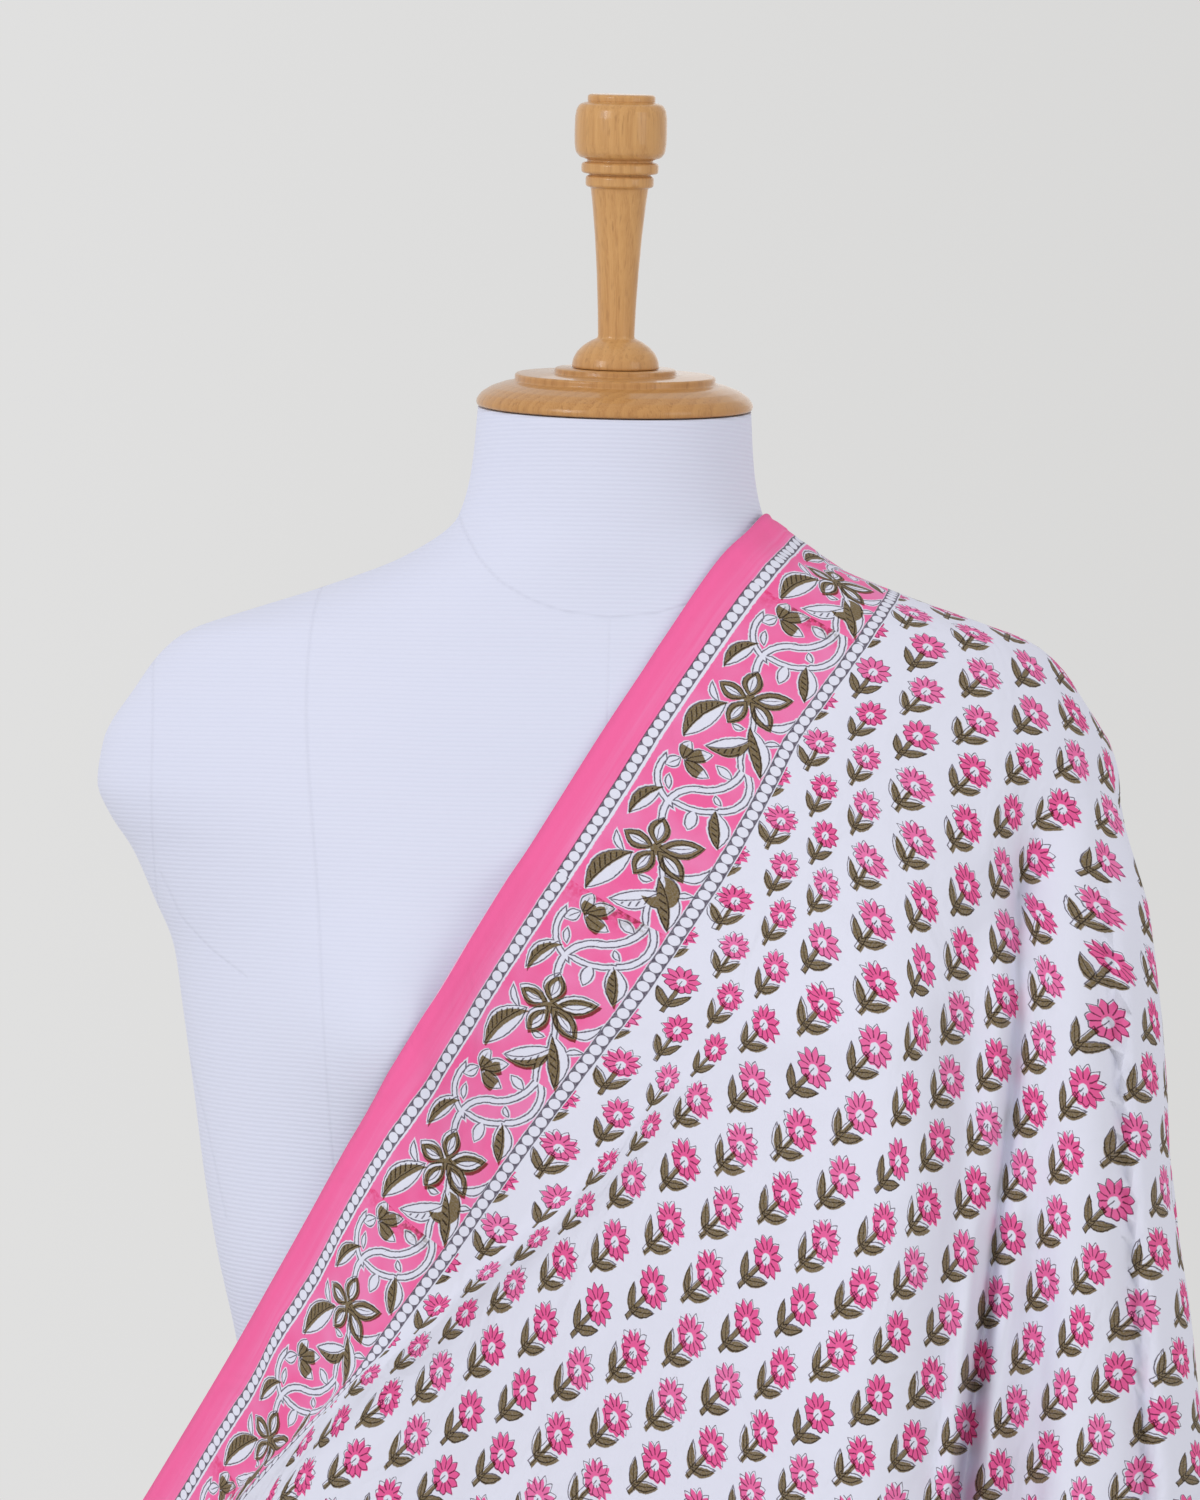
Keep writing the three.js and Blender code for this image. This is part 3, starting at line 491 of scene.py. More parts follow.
def section(z):
    """Half width, front, back and centre of the form at heights z, and how each changes."""
    t = np.clip((z - FORM_Z[0]) / FORM_STEP, 0, len(FORM_Z) - 1.0001)
    k = t.astype(int)
    f = t - k
    out = [T[k] + (T[k + 1] - T[k]) * f for T in FORM_TABLE]
    return out, [(T[k + 1] - T[k]) / FORM_STEP for T in FORM_TABLE]


def outside(x, y, z):
    """Distance outside the form and the way straight out of it."""
    (hw, fr, bk, cy), (dhw, dfr, dbk, dcy) = section(z)
    ax, sx = np.abs(x), np.where(x < 0, -1.0, 1.0)
    yy = y - cy
    front = yy < 0
    u, v = (ax - BUST["x"]) / BUST["wide"], (z - BUST["z"]) / BUST["high"]
    g = 1.0 / (1.0 + u * u + v * v)
    bump = BUST["depth"] * g * g * g
    slope = -3.0 * BUST["depth"] * g * g * g * g
    dep = np.where(front, fr + bump, bk)
    ddz = np.where(front, dfr + slope * 2 * v / BUST["high"], dbk)
    ddx = np.where(front, slope * 2 * u / BUST["wide"] * sx, 0.0)
    X, Y = x / hw, yy / dep
    q = np.sqrt(X * X + Y * Y) + 1e-9
    gx = (X / hw - Y * Y * ddx / dep) / q
    gy = (Y / dep) / q
    gz = (-(X * X * dhw / hw) - Y * dcy / dep - Y * Y * ddz / dep) / q
    gn = np.sqrt(gx * gx + gy * gy + gz * gz) + 1e-12
    return (q - 1.0) / gn, gx / gn, gy / gn, gz / gn


# ---------- the frame's sheet, read back as threads ----------
def known_triangles():
    """The sheet's triangles as the grid of threads makes them: outer side and inner side."""
    rows, cols = KEPT_ROWS, KEPT_COLS
    n = rows * cols
    at = lambda i, j: i * cols + j
    tris = []

    def quad(a, b, c, d):
        tris.append((a, b, c))
        tris.append((a, c, d))

    for i in range(rows - 1):
        for j in range(cols - 1):
            c = [at(i, j), at(i + 1, j), at(i + 1, j + 1), at(i, j + 1)]
            if i < (rows - 1) // 2:
                c = c[1:] + c[:1]
            quad(*c)
            quad(n + c[0], n + c[3], n + c[2], n + c[1])
    return tris


def threads(node):
    """Outer and inner side of the sheet as arrays (rows, cols, 3), matched by how its triangles join."""
    me = node.data
    co = np.zeros(len(me.vertices) * 3)
    me.vertices.foreach_get("co", co)
    co = co.reshape(-1, 3)
    lv = np.zeros(len(me.loops), np.int32)
    me.loops.foreach_get("vertex_index", lv)
    key, first, inv = np.unique(np.round(co * 2e5).astype(np.int64), axis=0, return_index=True, return_inverse=True)
    pts = co[first]
    faces = inv.reshape(-1)[lv.reshape(-1, 3)]
    rows, cols = KEPT_ROWS, KEPT_COLS
    if len(pts) != 2 * rows * cols:
        raise RuntimeError("the frame's sheet has %d points" % len(pts))
    have = {}
    for a, b, c in faces.tolist():
        have[(a, b)], have[(b, c)], have[(c, a)] = c, a, b
    want = {}
    tris = known_triangles()
    for a, b, c in tris:
        want[(a, b)], want[(b, c)], want[(c, a)] = c, a, b
    half = (rows - 1) // 2
    # a corner of the grid well inside it, and the points of the sheet near where the printed edge crosses the shoulder
    seed = (half * cols, half * cols + cols)
    if seed not in want:
        seed = (seed[1], seed[0])
    near = np.nonzero(np.linalg.norm(pts - np.array([0.059, -0.005, 1.504]), axis=1) < 0.045)[0].tolist()
    out_edges = {}
    for a, b in have:
        out_edges.setdefault(a, []).append(b)
    count = 2 * rows * cols
    for p in near:
        for q in out_edges.get(p, []):
            got = np.full(count, -1)
            used = np.zeros(len(pts), bool)
            got[seed[0]], got[seed[1]] = p, q
            used[p] = used[q] = True
            todo, seen, good = [seed], {seed}, True
            while todo and good:
                a, b = todo.pop()
                c = want.get((a, b))
                if c is None:
                    continue
                r = have.get((got[a], got[b]))
                if r is None:
                    good = False
                    break
                if got[c] < 0:
                    if used[r]:
                        good = False
                        break
                    got[c] = r
                    used[r] = True
                elif got[c] != r:
                    good = False
                    break
                for e in ((c, b), (a, c), (b, a)):
                    if e not in seen:
                        seen.add(e)
                        todo.append(e)
            if not good or (got[: rows * cols] < 0).any():
                continue
            # the inner side joins through the rim, whose quads have one diagonal or the other
            outer = pts[got[: rows * cols]].reshape(rows, cols, 3)
            if outer[half + 3:, :, 1].mean() > outer[: half - 3, :, 1].mean():
                continue
            left = np.nonzero(~used)[0]
            rest = pts[left]
            # each inner point is the nearest free one straight behind its outer point
            along = np.gradient(outer, axis=0)
            over = np.gradient(outer, axis=1)
            nrm = np.cross(along, over)
            nrm /= np.linalg.norm(nrm, axis=2, keepdims=True) + 1e-12
            guess = (outer - nrm * 0.0015).reshape(-1, 3)
            inner = np.zeros_like(guess)
            for s in range(0, len(guess), 256):
                d = ((guess[s:s + 256, None, :] - rest[None]) ** 2).sum(2)
                inner[s:s + 256] = rest[d.argmin(1)]
            return outer, inner.reshape(rows, cols, 3)
    raise RuntimeError("the frame's sheet could not be matched to its threads")


# ---------- fine drape ----------
class Sheet:
    """Position-based cloth on a grid (3, along, across), in millimetres."""

    def __init__(self, P, rest):
        self.P, self.rest = P, rest
        self.V = np.zeros_like(P)
        self.w = np.ones(P.shape[1:])
        nl, nw = P.shape[1:]
        B = []

        def add(di, dj, length, kind, starts):
            for i0, j0, si, sj in starts:
                il, ih = (0, nl - di) if di >= 0 else (-di, nl)
                jl, jh = (0, nw - dj) if dj >= 0 else (-dj, nw)
                B.append(((slice(il + i0, ih, si), slice(jl + j0, jh, sj)),
                          (slice(il + i0 + di, ih + di, si), slice(jl + j0 + dj, jh + dj, sj)), length, kind))

        add(1, 0, rest, 0, [(0, 0, 2, 1), (1, 0, 2, 1)])
        add(0, 1, rest, 0, [(0, 0, 1, 2), (0, 1, 1, 2)])
        d = rest * math.sqrt(2)
        add(1, 1, d, 1, [(0, 0, 2, 1), (1, 0, 2, 1)])
        add(1, -1, d, 1, [(0, 0, 2, 1), (1, 0, 2, 1)])
        add(2, 0, 2 * rest, 2, [(k, 0, 4, 1) for k in range(4)])
        add(0, 2, 2 * rest, 2, [(0, k, 1, 4) for k in range(4)])
        self.B = B

    def solve(self, soft, dt):
        P, w = self.P, self.w
        for A, Bs, rest, kind in self.B:
            d = P[(slice(None),) + Bs] - P[(slice(None),) + A]
            n = np.sqrt(d[0] * d[0] + d[1] * d[1] + d[2] * d[2])
            wa, wb = w[A], w[Bs]
            c = n - rest
            if kind == 2:
                c = np.minimum(c, 0.0)
            d *= c / ((wa + wb + soft[kind] / (dt * dt) + 1e-9) * n)
            P[(slice(None),) + A] += wa * d
            P[(slice(None),) + Bs] -= wb * d


def upsample(P):
    """Twice the threads each way, on a smooth curve through the old ones."""
    nl, nw = P.shape[1:]
    R = np.zeros((3, 2 * nl - 1, nw))
    R[:, ::2] = P
    R[:, 1::2] = 0.5 * (P[:, 1:] + P[:, :-1])
    R[:, 3:-3:2] = (-P[:, :-3] + 9 * P[:, 1:-2] + 9 * P[:, 2:-1] - P[:, 3:]) / 16
    S = np.zeros((3, 2 * nl - 1, 2 * nw - 1))
    S[:, :, ::2] = R
    S[:, :, 1::2] = 0.5 * (R[:, :, 1:] + R[:, :, :-1])
    S[:, :, 3:-3:2] = (-R[:, :, :-3] + 9 * R[:, :, 1:-2] + 9 * R[:, :, 2:-1] - R[:, :, 3:]) / 16
    return S


def drape(P, rest, seconds, dt, target, reach, fixed, soft, damp=3.0, lift=2.1, grip=0.35, floor_y=None):
    """Lets the cloth fall for a while, kept within reach of a target and outside the form."""
    c = Sheet(P.copy(), rest)
    c.w[fixed] = 0.0
    half = (P.shape[1] - 1) // 2
    for _ in range(int(round(seconds / dt))):
        Q = c.P.copy()
        c.V[2] -= 9810.0 * dt
        c.V *= 1 - damp * dt
        sp = np.sqrt((c.V ** 2).sum(0))
        c.V *= np.minimum(1, 1500 / (sp + 1e-6))
        c.P += c.V * dt * c.w
        c.solve(soft, dt)
        # tether
        d = c.P - target
        n = np.sqrt((d ** 2).sum(0)) + 1e-9
        c.P = np.where(n > reach, target + d * (reach / n), c.P)
        if floor_y is not None:
            c.P[1, half + 1:] = np.minimum(c.P[1, half + 1:], -floor_y[half + 1:])
            c.P[1, :half] = np.maximum(c.P[1, :half], floor_y[:half])
        # the form
        x, y, z = c.P.reshape(3, -1)
        near = np.nonzero((z > 836) & (z < 1546) & (np.abs(x) < 212) & (np.abs(y) < 160))[0]
        F, nx, ny, nz = outside(x[near], y[near], z[near])
        m = F < lift
        idx, pen = near[m], (lift - F[m]) * (c.w.reshape(-1)[near[m]] > 0)
        nn = np.stack([nx[m], ny[m], nz[m]])
        new = c.P.reshape(3, -1)[:, idx] + nn * pen
        move = new - Q.reshape(3, -1)[:, idx]
        tang = move - nn * (move * nn).sum(0)
        tl = np.sqrt((tang ** 2).sum(0)) + 1e-9
        new -= tang * (np.minimum(grip * pen, tl) / tl)
        c.P.reshape(3, -1)[:, idx] = new
        c.V = (c.P - Q) / dt
    return c.P


def cubic(n_old, at):
    """Weights (len(at), n_old) that read a smooth curve through n_old even samples at places at."""
    k = np.clip(np.floor(at).astype(int), 0, n_old - 2)
    t = at - k
    W = np.zeros((len(at), n_old))
    w = [-0.5 * t + t * t - 0.5 * t ** 3, 1 - 2.5 * t * t + 1.5 * t ** 3,
         0.5 * t + 2 * t * t - 1.5 * t ** 3, -0.5 * t * t + 0.5 * t ** 3]
    r = np.arange(len(at))
    for o, wo in zip((-1, 0, 1, 2), w):
        q = k + o
        low, high = q < 0, q > n_old - 1
        mid = ~(low | high)
        W[r[mid], q[mid]] += wo[mid]
        W[r[low], 0] += 2 * wo[low]
        W[r[low], 1] -= wo[low]
        W[r[high], n_old - 1] += 2 * wo[high]
        W[r[high], n_old - 2] -= wo[high]
    return W


def spaced(stops):
    """Places from first to last stop, spaced as each stretch says: (from, to, step)."""
    out = [stops[0][0]]
    for a, b, step in stops:
        n = max(1, int(round((b - a) / step)))
        out += (a + (b - a) * np.arange(1, n + 1) / n).tolist()
    return np.array(out)


outer, inner = threads(NODES["sarong"])
coarse = ((outer + inner) / 2 * 1000).transpose(2, 0, 1)
P15 = upsample(coarse)


def grid_lw(P):
    l = np.linspace(-900, 900, P.shape[1])[:, None] + np.zeros(P.shape[2])[None]
    w = np.linspace(0, 1110, P.shape[2])[None] + np.zeros(P.shape[1])[:, None]
    return l, w


def ridge(n, rest):
    """The top of the shoulder from the neck outwards, every rest millimetres."""
    zz = np.arange(1512, 1400, -0.5)
    (hw, fr, bk, cy), _ = section(zz)
    F, nx, ny, nz = outside(hw, cy, zz)
    x, z = hw + nx * REST_ON * 1000, zz + nz * REST_ON * 1000
    s = np.concatenate([[0], np.cumsum(np.hypot(np.diff(x), np.diff(z)))])
    s0 = np.interp(-1501.5, -zz, s)
    at = s0 + np.arange(n) * rest
    return np.interp(at, s, x), np.interp(at, s, cy), np.interp(at, s, z)


def settle(P, rest, seconds, dt, target, near, far):
    l, w = grid_lw(P)
    half = (P.shape[1] - 1) // 2
    fixed = np.zeros(P.shape[1:], bool)
    held = int(95 // rest) + 1
    # the printed edge stays on its line, pressed in where it lies on the form
    e = int(round(540 / rest))
    fixed[half - e: half + e + 1, 0] = True
    x, y, z = P[:, half - e: half + e + 1, 0]
    F, nx, ny, nz = outside(x, y, z)
    close = np.clip((8.0 - F) / 4.5, 0, 1) * np.clip((z - 1100) / 60, 0, 1)
    push = (REST_ON * 1000 - F) * np.where(F < REST_ON * 1000, 1.0, close * close * (3 - 2 * close))
    P[:, half - e: half + e + 1, 0] += np.stack([nx, ny, nz]) * push
    rx, ry, rz = ridge(held, rest)
    P[0, half, :held], P[1, half, :held], P[2, half, :held] = rx, ry, rz
    fixed[half, :held] = True
    shoulder = np.exp(-(l / 190.0) ** 2) * np.exp(-((w - 150) / 150.0) ** 2)
    reach = far + (near - far) * shoulder
    gap = np.where(np.abs(l) < 60, -400.0, np.clip((np.abs(l) - 60) * 0.2, 0, 1.6))
    return drape(P, rest, seconds, dt, target, reach, fixed, (0.0, 2e-6, 3e-5), lift=REST_ON * 1000, floor_y=gap)


P15 = settle(P15, 15.0, 0.35, 1 / 600, P15.copy(), 16.0, 7.0)
P7 = upsample(P15)
P7 = settle(P7, 7.5, 0.30, 1 / 900, P7.copy(), 9.0, 4.5)

# finer where the photograph looks at it
AT_L = spaced([(-900, -60, 10.0), (-60, 0, 5.0), (0, 470, 4.4), (470, 900, 9.6)])
AT_W = spaced([(0, 13.3, 4.5), (13.3, 59, 4.6), (59, 430, 5.3), (430, 1110, 8.9)])
WL, WW = cubic(P7.shape[1], (AT_L + 900) / 7.5), cubic(P7.shape[2], AT_W / 7.5)
PF = np.einsum("ai,kij,bj->kab", WL, P7, WW)


def relax_out(P, lift):
    """Pushes anything left inside the form out to its surface."""
    x, y, z = P.reshape(3, -1)
    near = np.nonzero((z > 836) & (z < 1546) & (np.abs(x) < 212) & (np.abs(y) < 160))[0]
    for _ in range(3):
        F, nx, ny, nz = outside(x[near], y[near], z[near])
        pen = np.maximum(lift - F, 0)
        x[near] += nx * pen
        y[near] += ny * pen
        z[near] += nz * pen
    return P



# ---------- pleats and creases, placed as the camera sees them ----------
def picture(P):
    """Where points in millimetres stand in the picture, in pixels, and the millimetres of one pixel there."""
    dx, dy, dz = (P[k] - CAMERA[k] * 1000 for k in range(3))
    u, v = FOCAL_PX * dx / dy, FOCAL_PX * dz / dy
    c, s = math.cos(math.radians(CAMERA_ROLL)), math.sin(math.radians(CAMERA_ROLL))
    return PHOTO_W / 2 + u * c + v * s, PHOTO_H / 2 + u * s - v * c, dy / FOCAL_PX


def ramp(x, a, b):
    t = np.clip((x - a) / (b - a), 0, 1)
    return t * t * (3 - 2 * t)


# The two pleats that fall from the shoulder. Each row: height in the picture, then for each of ten places across
# (panel, wall of the first pleat, its middle, its bottom, its far lip, next panel, lip, bottom and lip of the
# second pleat, outline) where the solved cloth has it, where it goes, and how far back it moves in millimetres.
PLEATS = [
    (300, [(560, 560, 0), (950, 950, 0), (1000, 1000, 0), (1042, 1042, 0), (1056, 1056, 0), (1072, 1072, 0), (1090, 1090, 0), (1104, 1104, 0), (1112, 1112, 0), (1125, 1125, 0)]),
    (740, [(560, 560, 0), (950, 950, 0), (1000, 1000, 0), (1042, 1042, 0), (1056, 1056, 0), (1072, 1072, 0), (1090, 1090, 0), (1104, 1104, 0), (1112, 1112, 0), (1125, 1125, 0)]),
    (900, [(560, 560, 0), (950, 980, -4), (1000, 1004, -6), (1042, 1019, -2), (1056, 1030, -8), (1072, 1052, -10), (1090, 1082, -8), (1104, 1097, -3), (1112, 1106, -7), (1125, 1139, 0)]),
    (1000, [(520, 520, 0), (908, 963, -10), (961, 994, -20), (1030, 1013, -24), (1046, 1024, -34), (1070, 1050, -34), (1094, 1090, -24), (1108, 1109, -12), (1118, 1119, -18), (1146, 1151, 0)]),
    (1100, [(490, 490, 0), (903, 957, -12), (947, 985, -24), (1025, 1006, -33), (1045, 1018, -44), (1075, 1050, -40), (1107, 1096, -28), (1122, 1114, -14), (1134, 1124, -20), (1168, 1163, -2)]),
    (1200, [(460, 460, 0), (903, 952, -12), (935, 975, -24), (1010, 992, -40), (1040, 1004, -52), (1077, 1042, -44), (1118, 1102, -29), (1132, 1122, -16), (1146, 1132, -21), (1190, 1173, -3)]),
    (1300, [(430, 430, 0), (906, 943, -10), (930, 964, -24), (1010, 981, -42), (1035, 992, -56), (1070, 1035, -48), (1120, 1110, -26), (1140, 1132, -12), (1155, 1142, -18), (1202, 1188, -3)]),
    (1400, [(410, 410, 0), (912, 934, -8), (932, 953, -22), (1015, 969, -44), (1045, 981, -59), (1075, 1025, -50), (1120, 1115, -24), (1145, 1139, -9), (1160, 1149, -16), (1214, 1200, -3)]),
    (1500, [(390, 390, 0), (915, 926, -6), (935, 942, -20), (1010, 958, -44), (1045, 970, -60), (1078, 1018, -52), (1125, 1120, -22), (1150, 1146, -6), (1166, 1156, -14), (1221, 1212, -2)]),
    (1800, [(300, 300, 0), (915, 917, -3), (935, 937, -5), (1010, 990, -16), (1045, 1022, -26), (1078, 1050, -22), (1125, 1122, -10), (1150, 1148, -2), (1166, 1162, -6), (1221, 1217, 0)]),
    (2150, [(300, 300, 0), (915, 915, 0), (935, 935, 0), (1010, 1010, 0), (1045, 1045, 0), (1078, 1078, 0), (1125, 1125, 0), (1150, 1150, 0), (1166, 1166, 0), (1221, 1221, 0)]),
    (9000, [(300, 300, 0), (915, 915, 0), (935, 935, 0), (1010, 1010, 0), (1045, 1045, 0), (1078, 1078, 0), (1125, 1125, 0), (1150, 1150, 0), (1166, 1166, 0), (1221, 1221, 0)]),
]
# The slack that is caught in a low crease down to the hip: picture x, y and how many pixels of cloth it hides.
CREASE = [(775, 1012, 0), (730, 1050, 6), (672, 1098, 11), (611, 1171, 14), (533, 1245, 17), (468, 1298, 19), (415, 1351, 21),
          (366, 1388, 23), (305, 1445, 25), (240, 1505, 25), (170, 1570, 22), (100, 1640, 12), (60, 1680, 0)]


def pleat(P, l):
    """Gathers the front's slack into the two pleats."""
    X, Y, mm = picture(P)
    rows = np.arange(700.0, 2200.0, 10.0)
    across = np.arange(200.0, 1400.0, 2.0)
    ys = np.array([r[0] for r in PLEATS], float)
    K = np.array([r[1] for r in PLEATS], float)
    go, back = np.zeros((len(rows), len(across))), np.zeros((len(rows), len(across)))
    for i, y in enumerate(rows):
        k = np.array([[np.interp(y, ys, K[:, a, b]) for b in range(3)] for a in range(K.shape[1])])
        s = np.concatenate([[k[0, 0] - 300, k[0, 0] - 100], k[:, 0], [k[-1, 0] + 60, k[-1, 0] + 300]])
        x = np.concatenate([[k[0, 1] - 300, k[0, 1] - 100], k[:, 1], [k[-1, 1] + 60, k[-1, 1] + 300]])
        d = np.concatenate([[0, 0], k[:, 2], [0, 0]])
        inside = np.clip(across, s[0], s[-1])
        go[i] = _curve(s, x, inside) - inside
        back[i] = _curve(s, d, inside)
    fy = np.clip((Y - rows[0]) / 10.0, 0, len(rows) - 1.001)
    fx = np.clip((X - across[0]) / 2.0, 0, len(across) - 1.001)
    iy, ix = fy.astype(int), fx.astype(int)
    ty, tx = fy - iy, fx - ix

    def read(T):
        return ((T[iy, ix] * (1 - tx) + T[iy, ix + 1] * tx) * (1 - ty) + (T[iy + 1, ix] * (1 - tx) + T[iy + 1, ix + 1] * tx) * ty)

    front = ramp(l, 5, 70)[:, None] + 0 * X
    P[0] += read(go) * mm * front
    P[1] += read(back) * front * ramp(-P[1], 12, 34)
    # the first pleat is only a shallow dip
    X, Y, mm = picture(P)
    dip = np.interp(Y, [900, 1100, 1300, 1500, 1800], [1019, 1006, 988, 964, 966])
    P[1] -= 14.0 * np.exp(-((X - dip) / 27.0) ** 2) * ramp(Y, 880, 1010) * (1 - ramp(Y, 1500, 1900)) * front * ramp(-P[1], 12, 34)
    return P


def crease_side(X, Y, pts):
    """Signed distance from the crease, positive below it, and how much cloth it hides there."""
    pts = np.array(pts, float)
    best = np.full(X.shape, 1e9)
    sd, q = np.zeros(X.shape), np.zeros(X.shape)
    for a, b in zip(pts[:-1], pts[1:]):
        e = b - a
        n = math.hypot(e[0], e[1])
        t = np.clip(((X - a[0]) * e[0] + (Y - a[1]) * e[1]) / n ** 2, 0, 1)
        ex, ey = X - a[0] - t * e[0], Y - a[1] - t * e[1]
        d = np.hypot(ex, ey)
        side = -np.sign(e[0] * ey - e[1] * ex)
        m = d < best
        best = np.where(m, d, best)
        sd = np.where(m, d * side, sd)
        q = np.where(m, a[2] + t * e[2], q)
    return sd, q


def crease(P, l, pts):
    """Draws the cloth below the crease up to it, and lifts its lip."""
    X, Y, mm = picture(P)
    sd, q = crease_side(X, Y, pts)
    # the way across the crease, taken for the whole of it so that it turns nowhere suddenly
    way = np.array(pts[-3][:2], float) - np.array(pts[1][:2], float)
    way /= np.hypot(*way)
    nx, ny = -way[1], way[0]
    if nx < 0:
        nx, ny = -nx, -ny
    wide = 8 + 0.55 * q
    pull = q * ramp(sd, -wide, wide) * (1 - ramp(sd, 25, 330))
    front = ramp(l, 40, 110)[:, None] * ramp(-P[1], -5, 20)
    P[0] -= nx * pull * mm * front
    P[2] += ny * pull * mm * front
    lip = np.exp(-((sd - 0.5 * wide) / (7 + 0.35 * wide)) ** 2) * np.clip(q / 14, 0, 1.3)
    P[1] -= 3.6 * lip * front
    return P


PF = pleat(np.ascontiguousarray(PF), AT_L)
PF = crease(PF, AT_L, CREASE)
PF = relax_out(PF, REST_ON * 1000 - 0.3) / 1000.0


# How far the bias stretch of the hanging front moves the print along and across the cloth, in millimetres: terms
# x^i y^j up to the third order (i outer, j inner), then 1, y of the step over the first pleat, with x, y the place
# in the picture about its middle right.
BIAS_ALONG = [-9.08, -39.08, -14.78, 8.33, -36.21, 0.62, 18.54, 35.75, -14.14, 11.71, 29.31, 20.75]
BIAS_ACROSS = [20.09, 7.36, -6.47, 9.3, 5.36, -8.76, -4.88, -29.05, 28.07, 11.32, -23.85, -33.52]
# Where the first pleat's wall stands in the picture, and the print's own place across it, in millimetres: terms
# u^i v^j up to the second order, with u, v the place in the picture about the middle of the wall.
WALL_Y = [870, 900, 1000, 1100, 1200, 1300, 1400, 1500, 1800, 2150]
WALL_X = [1006, 1004, 1000, 990, 980, 970, 958, 948, 950, 960]
OUTLINE_X = [1136, 1139, 1151, 1163, 1173, 1188, 1200, 1212, 1220, 1221]
WALL_ALONG = [165.6, 64.04, -5.03, -52.05, 2.99, -2.16]
WALL_ACROSS = [217.29, 62.13, 5.1, 47.54, -2.37, 2.42]


def bias(P, l, w):
    """Print coordinates (along, across) of the cloth's threads once the front has stretched on the bias."""
    X, Y, mm = picture(P)
    sd, q = crease_side(X, Y, CREASE)
    below = ramp(sd, -8 - 0.55 * q, 8 + 0.55 * q)
    low = ramp(q, 8, 18)
    wall, outline = np.interp(Y, WALL_Y, WALL_X), np.interp(Y, WALL_Y, OUTLINE_X)
    soft = 14 + 240 * ramp(Y, 1500, 1900)
    past = ramp(X, wall - soft, wall + soft) * ramp(Y, 860, 1000)
    x, y = (np.clip(X, 380, 1200) - 800) / 400, (np.clip(Y, 560, 1500) - 1000) / 500
    u, v = (X - wall) / 150, (Y - 1200) / 300
    L, W = l[:, None] + 0 * X, w[None, :] + 0 * X
    # the border keeps its place on the edge; low down the crease takes up what the field gains on it
    inner = (1 - low) * ramp(W, 58, 95) + low * below * ramp(W, 8, 70)
    kept = ramp(L, 10, 120) * ramp(900 - L, 60, 330) * ramp(1110 - W, 60, 330)
    over = (ramp(X, wall - 110, wall - 50) * (1 - ramp(X, outline - 130, outline - 8)) * ramp(Y, 780, 960) * (1 - ramp(Y, 1500, 1800))
            * ramp(L, 40, 90))
    out = []
    for base, table, own in ((L, BIAS_ALONG, WALL_ALONG), (W, BIAS_ACROSS, WALL_ACROSS)):
        powers = [(i, j) for i in range(4) for j in range(4 - i)]
        move = inner * sum(c * x ** i * y ** j for c, (i, j) in zip(table, powers))
        a, b = table[-2:]
        move = move + past * (a + b * y)
        moved = base + move * kept
        place = sum(c * u ** i * v ** j for c, (i, j) in zip(own, [(i, j) for i in range(3) for j in range(3 - i)]))
        out.append(moved + (place - moved) * over)
    return out


